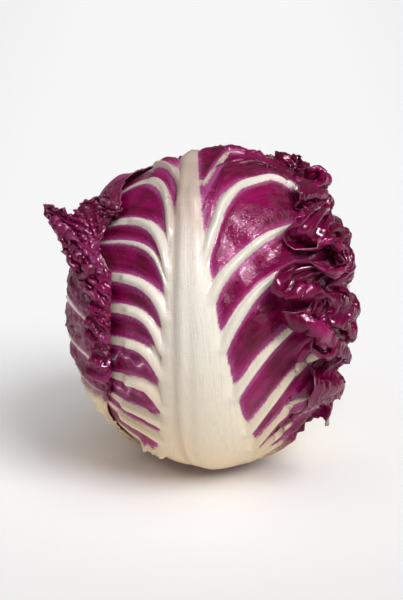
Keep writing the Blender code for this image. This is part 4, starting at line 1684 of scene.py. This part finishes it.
@dataclass(frozen=True)
class LeafFinish:
    """A radicchio leaf: cream ribs with soft, speckled edges in a glossy wine-red blade.

    The blade is mixed from deep and bright, with flush and a pale violet painted sheen by the ribs, shade on
    the inner face, a dusty colour where the leaf is matt, partly a dull bloom and partly painted sheen, and
    vein on the net's threads.
    The ribs are mixed from rib, cream low down, tan high up, which also paints shade into the midrib's
    groove, and fleck and fibre. brown is the cut's edge and torn the margins' rim. dust, net, bruise and rim
    are the shares of those. root is how far up the white base goes, and fade where the ribs end, as shares of
    the leaf's length.
    """

    name: str
    deep: Colour = srgb(90, 0, 34)
    bright: Colour = srgb(150, 2, 84)
    flush: Colour = srgb(180, 42, 124)
    shade: Colour = srgb(96, 0, 44)
    # The painted sheen's pale violet, mixed into the blade close by the ribs
    painted_sheen: Colour = srgb(186, 96, 158)
    brown: Colour = srgb(150, 118, 92)
    bruise: float = 0.0
    rim: float = 0.25
    # The outer faces' dusty colour: partly a dull bloom, partly painted sheen
    dusty_sheen_colour: Colour = srgb(112, 48, 74)
    dust_and_sheen: float = 0.0
    rib: Colour = srgb(250, 245, 229)
    cream: Colour = srgb(246, 227, 188)
    # Tan of the ribs high up, also used as painted shade in the midrib's groove
    tan: Colour = srgb(212, 190, 176)
    fleck: Colour = srgb(214, 196, 170)
    fibre: Colour = srgb(206, 188, 158)
    vein: Colour = srgb(205, 150, 175)
    torn: Colour = srgb(190, 120, 150)
    net: float = 0.02
    gloss: float = 0.38
    root: float = 0.05
    fade: float = 1.2
    sheen: Colour = (1.0, 0.58, 0.80)

    def rib_share(self, f: LeafFields) -> Value:
        """How much a point is of a rib, with a feathered edge, or of the white base.

        Args:
            f: the leaf's fields.

        Returns:
            The share, 0 to 1.
        """
        feather = (f.streak - 0.5) * f.along.ramp(0.78, 0.55)
        on_rib = (f.rib + f.fuzz * 1.1 + f.fine * 0.5 + feather * 1.6).ramp(0.45, -0.25)
        up = f.along + f.fuzz * 0.03 + (f.strand - 0.5) * 0.45
        base = f.along + f.fuzz * 0.05 + (f.broad - 0.5) * 0.06
        root = base.ramp(self.root + 0.05, self.root - 0.02)
        return (on_rib * up.ramp(self.fade + 0.30, self.fade)).at_least(root)

    def blade(self, n: Nodes, f: LeafFields, thread: Value, dull_and_sheen: Value) -> Value:
        """The blade's colour, with a painted sheen by the ribs and, where the leaf is matt, partly painted
        sheen.

        Args:
            n: the material's nodes.
            f: the leaf's fields.
            thread: the share of the net's threads.
            dull_and_sheen: the share of the dusty colour, partly a dull bloom and partly painted sheen.

        Returns:
            The colour.
        """
        near = (f.rib + f.fuzz * 1.6 + (f.streak - 0.5) * 6.0).ramp(3.4, 0.1)
        # Painted sheen: a pale violet mixed in close by the ribs stands in for the blade's glossy haze
        painted_sheen_share = (f.rib + f.fuzz * 1.8 + (f.fibre + f.streak - 0.5) * 3.0).ramp(2.1, -0.1)
        blade = n.mix((f.broad * 0.6 + f.streak * 0.4).ramp(0.40, 0.62), self.deep, self.bright)
        blade = n.mix((f.fibre * 3.0).clipped() * 0.35, blade, self.flush)
        blade = n.mix(near * 0.55, blade, self.flush)
        blade = n.mix(painted_sheen_share * 0.68, blade, self.painted_sheen)
        blade = n.mix(thread, blade, self.vein)
        blade = n.mix((1.0 - f.face) * 0.65, blade, self.shade)
        return n.mix(dull_and_sheen, blade, self.dusty_sheen_colour)

    def white(self, n: Nodes, f: LeafFields) -> Value:
        """The ribs' colour, with painted shade in the midrib's groove.

        Args:
            n: the material's nodes.
            f: the leaf's fields.

        Returns:
            The colour.
        """
        white = n.mix(f.along.ramp(0.62, 0.16), self.rib, self.cream)
        white = n.mix(f.along.ramp(0.70, 0.92), white, self.tan)
        white = n.mix(n.noise(f.place, 300.0, 3.0).ramp(0.55, 0.8) * 0.25, white, self.fleck)
        white = n.mix(f.strand.ramp(0.48, 0.78) * 0.35, white, self.fibre)
        # Painted shade: the ribs turn tan where the midrib's groove is deep
        return n.mix((f.groove * 0.42).clipped() * 0.6, white, self.tan)

    def material(self) -> bpy.types.Material:
        """Builds the finish.

        Returns:
            The material.
        """
        n = Nodes(self.name)
        f = LeafFields(n)
        on_rib = self.rib_share(f)
        thread = (f.net + f.fuzz * 0.25).ramp(0.26, 0.06) * (self.net + 0.10 * (1.0 - f.face))
        # Partly painted sheen, partly a dull bloom: the outer face turns a paler, dusty colour and rougher
        dull_and_sheen = f.face * self.dust_and_sheen * (0.55 + 0.45 * f.streak.ramp(0.35, 0.65))
        colour = n.mix(on_rib, self.blade(n, f, thread, dull_and_sheen), self.white(n, f))
        cut = (f.along + f.fuzz * 0.010).ramp(0.026, 0.014) * n.part(f.place, "X").ramp(0.004, 0.013)
        colour = n.mix(cut * self.bruise, colour, self.brown)
        colour = n.mix((f.margin + f.fuzz * 0.3).ramp(0.7, 0.15) * self.rim, colour, self.torn)
        wet = (n.noise(f.place, 62.0, 3.0, 0.6) + f.fuzz * 0.24).ramp(0.47, 0.51)
        wet = wet.at_least(1.0 - f.face) * (1.0 - dull_and_sheen) * (1.0 - on_rib)
        rough = self.gloss + 0.12 * on_rib + 0.16 * (n.noise(f.place, 500.0, 2.0) - 0.5) + dull_and_sheen * 0.25
        pit = n.noise(f.place, 420.0, 3.0, 0.6) - 0.5
        height = (f.fine * 0.08 + f.fuzz * 0.22 + f.fibre * 0.25) * (0.35 + 0.65 * f.face)
        height = height + pit * (0.5 * f.face * (1.0 - on_rib)) + f.strand * 0.30 * on_rib + thread * 0.25
        return n.finish({"Base Color": colour, "Roughness": rough - 0.24 * wet,
                         "Normal": n.bump(height, 1.0 * MM, 0.7),
                         "Coat Weight": 0.35 * on_rib + 0.10 * wet, "Coat Roughness": 0.18,
                         "Specular IOR Level": 0.46, "Specular Tint": self.sheen})


@dataclass(frozen=True)
class PlainFinish:
    """One soft colour with a fine mottle, for the stem's cut and the heart."""

    name: str
    light: Colour
    dark: Colour
    rough: float
    scale: float

    def material(self) -> bpy.types.Material:
        """Builds the finish.

        Returns:
            The material.
        """
        n = Nodes(self.name)
        place = n.place()
        grain = n.noise(place, self.scale, 4.0, 0.6)
        colour = n.mix(grain.ramp(0.3, 0.7), self.dark, self.light)
        return n.finish({"Base Color": colour, "Roughness": self.rough + 0.2 * (grain - 0.5),
                         "Normal": n.bump(grain, 0.8 * MM, 0.7)})


# Stem and heart.


def ring_faces(rows: int, count: int) -> np.ndarray:
    """Four-sided faces between rings of points, each ring closed.

    Args:
        rows: how many rings.
        count: how many points each has.

    Returns:
        Four indices for each face.
    """
    index = np.arange(rows * count).reshape(rows, count)
    after = np.roll(index, -1, axis=1)
    return np.stack((index[:-1], index[1:], after[1:], after[:-1]), axis=-1).reshape(-1, 4)


def turned(profile: np.ndarray, ripple: np.ndarray) -> tuple[np.ndarray, np.ndarray]:
    """A profile carried round the Z axis, with its first and last points on the axis.

    Args:
        profile: (radius, height) pairs from the top of the axis to its foot.
        ripple: radius factors for each profile point and step round.

    Returns:
        Places and faces of a surface whose poles are rings of coinciding points, which welded() joins.
    """
    rows, count = ripple.shape
    angle = np.arange(count) * 2.0 * math.pi / count
    radius = profile[:, :1] * ripple
    verts = np.stack((radius * np.cos(angle), radius * np.sin(angle), profile[:, 1:] + 0.0 * radius), axis=-1)
    return verts.reshape(-1, 3), ring_faces(rows, count)


@dataclass
class CutStem:
    """The stub of the stem, with a browned cut foot and fluted sides."""

    foot: float = 17.2 * MM
    shoulder: float = 20.3 * MM
    height: float = 6.2 * MM
    chamfer: float = 0.8 * MM
    flute: float = 0.012
    steps: int = 180

    def build(self, finish: PlainFinish) -> bpy.types.Object:
        """Makes the stub: a turned profile whose side is slightly fluted, and whose foot is flat.

        Args:
            finish: what it looks like.

        Returns:
            The finished object.
        """
        corners = np.array(((0.0, self.height), (self.shoulder - self.chamfer, self.height),
                            (self.shoulder, self.height - self.chamfer),
                            (self.foot + self.chamfer, 2.0 * self.chamfer), (self.foot, 0.0), (0.0, 0.0)))
        at = np.concatenate([np.linspace(i, i + 1, 9)[:-1] for i in range(5)] + [np.array((5.0,))])
        profile = np.stack([np.interp(at, range(6), corners[:, k]) for k in range(2)], axis=-1)
        angle = np.arange(self.steps) * 2.0 * math.pi / self.steps
        flute = 1.0 - self.flute * (0.5 + 0.5 * np.sin(17.0 * angle + 2.0 * np.sin(5.0 * angle)))
        ripple = 1.0 + (flute[None, :] - 1.0) * smooth(0.3, 0.9, profile[:, 0] / self.shoulder)[:, None]
        return dressed(welded(grid_mesh("cut_stem", *turned(profile, ripple))), finish.material(), "cut_stem")


@dataclass
class Heart:
    """The dense inner leaves as one body, with low steps where they overlap."""

    gap: float = 0.6 * MM
    leaves: int = 7
    step: float = 2.0 * MM
    slant: float = 0.10
    seat: float = 6.8 * MM
    rows: int = 120
    columns: int = 240

    def build(self, finish: PlainFinish) -> bpy.types.Object:
        """Makes the heart: the ball less a sawtooth of low steps, with a flat seat on the stem.

        Args:
            finish: what it looks like.

        Returns:
            The finished object.
        """
        theta = np.linspace(0.0, math.pi, self.rows)[:, None]
        phi = (np.arange(self.columns) * 2.0 * math.pi / self.columns)[None, :]
        d = np.stack((np.sin(theta) * np.cos(phi), np.sin(theta) * np.sin(phi), np.cos(theta) + 0.0 * phi),
                     axis=-1)
        turn = np.arctan2(d[..., 1], d[..., 0]) / (2.0 * math.pi) + self.slant * d[..., 2]
        step = np.mod(turn * self.leaves, 1.0)
        shape = step * smooth(0.0, 0.12, 1.0 - step) * np.sqrt(1.0 - np.clip(d[..., 2] ** 2, 0.0, 1.0))
        verts = BALL.place(d, -self.gap - self.step * (1.0 - shape))
        verts[..., 2] = np.maximum(verts[..., 2], self.seat)
        mesh = grid_mesh("heart", verts.reshape(-1, 3), ring_faces(self.rows, self.columns))
        return dressed(welded(mesh), finish.material(), "heart")


# Studio.


def outward(azimuth: float, elevation: float) -> Vector:
    """The unit vector towards an azimuth to the camera's right and an elevation."""
    a, e = math.radians(azimuth), math.radians(elevation)
    return Vector((math.sin(a) * math.cos(e), -math.cos(a) * math.cos(e), math.sin(e)))


@dataclass(frozen=True)
class Lamp:
    """A far, broad light, even over the whole floor.

    azimuth is degrees to the camera's right, elevation degrees over the floor, and spread how wide it looks
    from the head. diffuse and glossy say whether it lights matt and mirrored light.
    """

    name: str
    azimuth: float
    elevation: float
    spread: float
    strength: float
    diffuse: bool = True
    glossy: bool = True

    def build(self) -> None:
        """Adds the light to the scene."""
        lamp = bpy.data.lights.new(self.name, "SUN")
        lamp.angle = math.radians(self.spread)
        lamp.energy = self.strength
        piece = bpy.data.objects.new(self.name, lamp)
        piece.rotation_euler = outward(self.azimuth, self.elevation).to_track_quat("Z", "Y").to_euler()
        piece.visible_diffuse, piece.visible_glossy = self.diffuse, self.glossy
        bpy.context.scene.collection.objects.link(piece)


@dataclass
class Studio:
    """A pale floor that glows with painted light and painted shadow, a broad key light from the front right,
    soft light from all round, and the camera.
    """

    lens: float = 100.0
    distance: float = 0.6944
    target: tuple[float, float, float] = (-0.0035, 0.0, 0.068)
    elevation: float = 20.0
    lamps: tuple[Lamp, ...] = (
        Lamp("key", 48.0, 50.0, 34.0, 2.05),
        Lamp("fill_0", -20.0, 76.0, 70.0, 0.62, glossy=False),
        Lamp("fill_1", -75.0, 30.0, 60.0, 0.24, glossy=False),
        Lamp("glint", 44.0, 54.0, 8.0, 4.2, diffuse=False),
    )
    sky: float = 0.12
    sky_colour: Colour = (0.97, 0.985, 1.0)
    floor_half: float = 30.0
    floor_colour: Colour = (0.89, 0.883, 0.888)
    # Painted light: the floor glows. The dark, warm colour after it is the painted contact shadow round the
    # foot.
    painted_floor_light: float = 0.18
    painted_shadow_glow: Colour = (0.22, 0.12, 0.10)
    glow_light: Colour = (1.0, 1.0, 0.99)

    def build(self) -> None:
        """Makes floor, lights, world and camera."""
        self.floor()
        for lamp in self.lamps:
            lamp.build()
        self.world()
        self.camera()
        view = bpy.context.scene.view_settings
        view.view_transform = "Standard"
        view.look = "None"

    def floor(self) -> None:
        """A broad pale sheet under the head, which glows faintly with painted light: least round the foot, as
        a painted contact shadow, and less towards the front and the sides, as painted darkening.
        """
        half = self.floor_half
        verts = np.array(((-half, -half, 0.0), (half, -half, 0.0), (half, half, 0.0), (-half, half, 0.0)))
        mesh = grid_mesh("floor", verts, np.array(((0, 1, 2, 3),)))
        n = Nodes("floor")
        x, y = n.part(n.place(), "X"), n.part(n.place(), "Y")
        away = ((x + 0.02) ** 2.0 + y ** 2.0) ** 0.5
        # Painted shadow and shade: the glow is less towards the front, round the foot and towards the sides
        glow = (0.42 + 0.58 * y.ramp(-0.15, -0.01)) * away.ramp(0.020, 0.085)
        glow = glow * (1.0 - 0.30 * (x ** 2.0).ramp(0.006, 0.04))
        mesh.materials.append(n.finish({"Base Color": self.floor_colour, "Roughness": 0.9,
                                        "Specular IOR Level": 0.0,
                                        "Emission Color": n.mix(glow, self.painted_shadow_glow, self.glow_light),
                                        "Emission Strength": self.painted_floor_light}))
        piece = bpy.data.objects.new("floor", mesh)
        bpy.context.scene.collection.objects.link(piece)

    def world(self) -> None:
        """An even, faintly cool light from all round."""
        world = bpy.data.worlds.new("studio")
        world.use_nodes = True
        background = world.node_tree.nodes["Background"]
        background.inputs["Color"].default_value = (*self.sky_colour, 1.0)
        background.inputs["Strength"].default_value = self.sky
        bpy.context.scene.world = world

    def camera(self) -> None:
        """The camera at the photograph's angle."""
        lens = bpy.data.cameras.new("camera")
        lens.lens = self.lens
        lens.sensor_width = 36.0
        piece = bpy.data.objects.new("camera", lens)
        back = outward(0.0, self.elevation)
        piece.location = Vector(self.target) + back * self.distance
        piece.rotation_euler = back.to_track_quat("Z", "Y").to_euler()
        bpy.context.scene.collection.objects.link(piece)
        bpy.context.scene.camera = piece


@dataclass
class Head:
    """The whole head: its stem, its heart and its four wrapper leaves."""

    leaves: tuple[Leaf, ...] = (
        Leaf(BACK, rows=170, columns=170, coarse=(90, 90), vein_height=2.0 * MM, vein_half=SIDE_VEINS,
             crinkle=0.25 * MM),
        Leaf(RIGHT, rows=170, columns=170, coarse=(100, 100), vein_height=2.0 * MM, vein_half=SIDE_VEINS,
             crinkle=0.45 * MM),
        Leaf(FRONT, rows=215, columns=225, fold=0.70, coarse=(110, 136), strip_reach=(30 * MM, 14 * MM),
             blade_growth=1.12, ceiling=11 * MM, groove=Groove(FRONT_GROOVE), ledges=TORN,
             crease_growth=0.20, crease_end=7.9, crease_tip=10.0),
        Leaf(LEFT, rows=190, columns=215, fold=0.70, coarse=(90, 120), edge_growth=1.22, blade_growth=1.03,
             spring=0.05, vein_height=1.3 * MM, vein_half=THIN_VEINS, crinkle=0.65 * MM),
    )

    def build(self) -> None:
        """Makes every piece and reports it."""
        stem = PlainFinish("cut_stem", srgb(176, 152, 128), srgb(120, 88, 66), 0.75, 700.0)
        heart = PlainFinish("heart", srgb(150, 60, 100), srgb(90, 10, 45), 0.45, 160.0)
        finishes = {
            "back_leaf": LeafFinish("back_leaf", dust_and_sheen=0.35, net=0.15, root=0.10),
            "right_leaf": LeafFinish("right_leaf", dust_and_sheen=0.55, net=0.22, root=0.10),
            "front_leaf": LeafFinish("front_leaf", bruise=1.0),
            "left_leaf": LeafFinish("left_leaf", dust_and_sheen=0.50, net=0.16, root=0.20, fade=0.58,
                                    shade=srgb(118, 16, 66)),
        }
        self.report(CutStem().build(stem))
        self.report(Heart().build(heart))
        for leaf in self.leaves:
            self.report(leaf.build(finishes[leaf.plan.name]))

    def report(self, piece: bpy.types.Object) -> None:
        """Logs a piece's name and how many faces it has."""
        log.info("%s: %d faces", piece.name, len(piece.data.polygons))


def main() -> None:
    """Builds the studio and the head."""
    logging.basicConfig(level=logging.INFO, format="%(message)s")
    Studio().build()
    Head().build()
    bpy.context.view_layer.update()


if __name__ == "__main__":
    main()
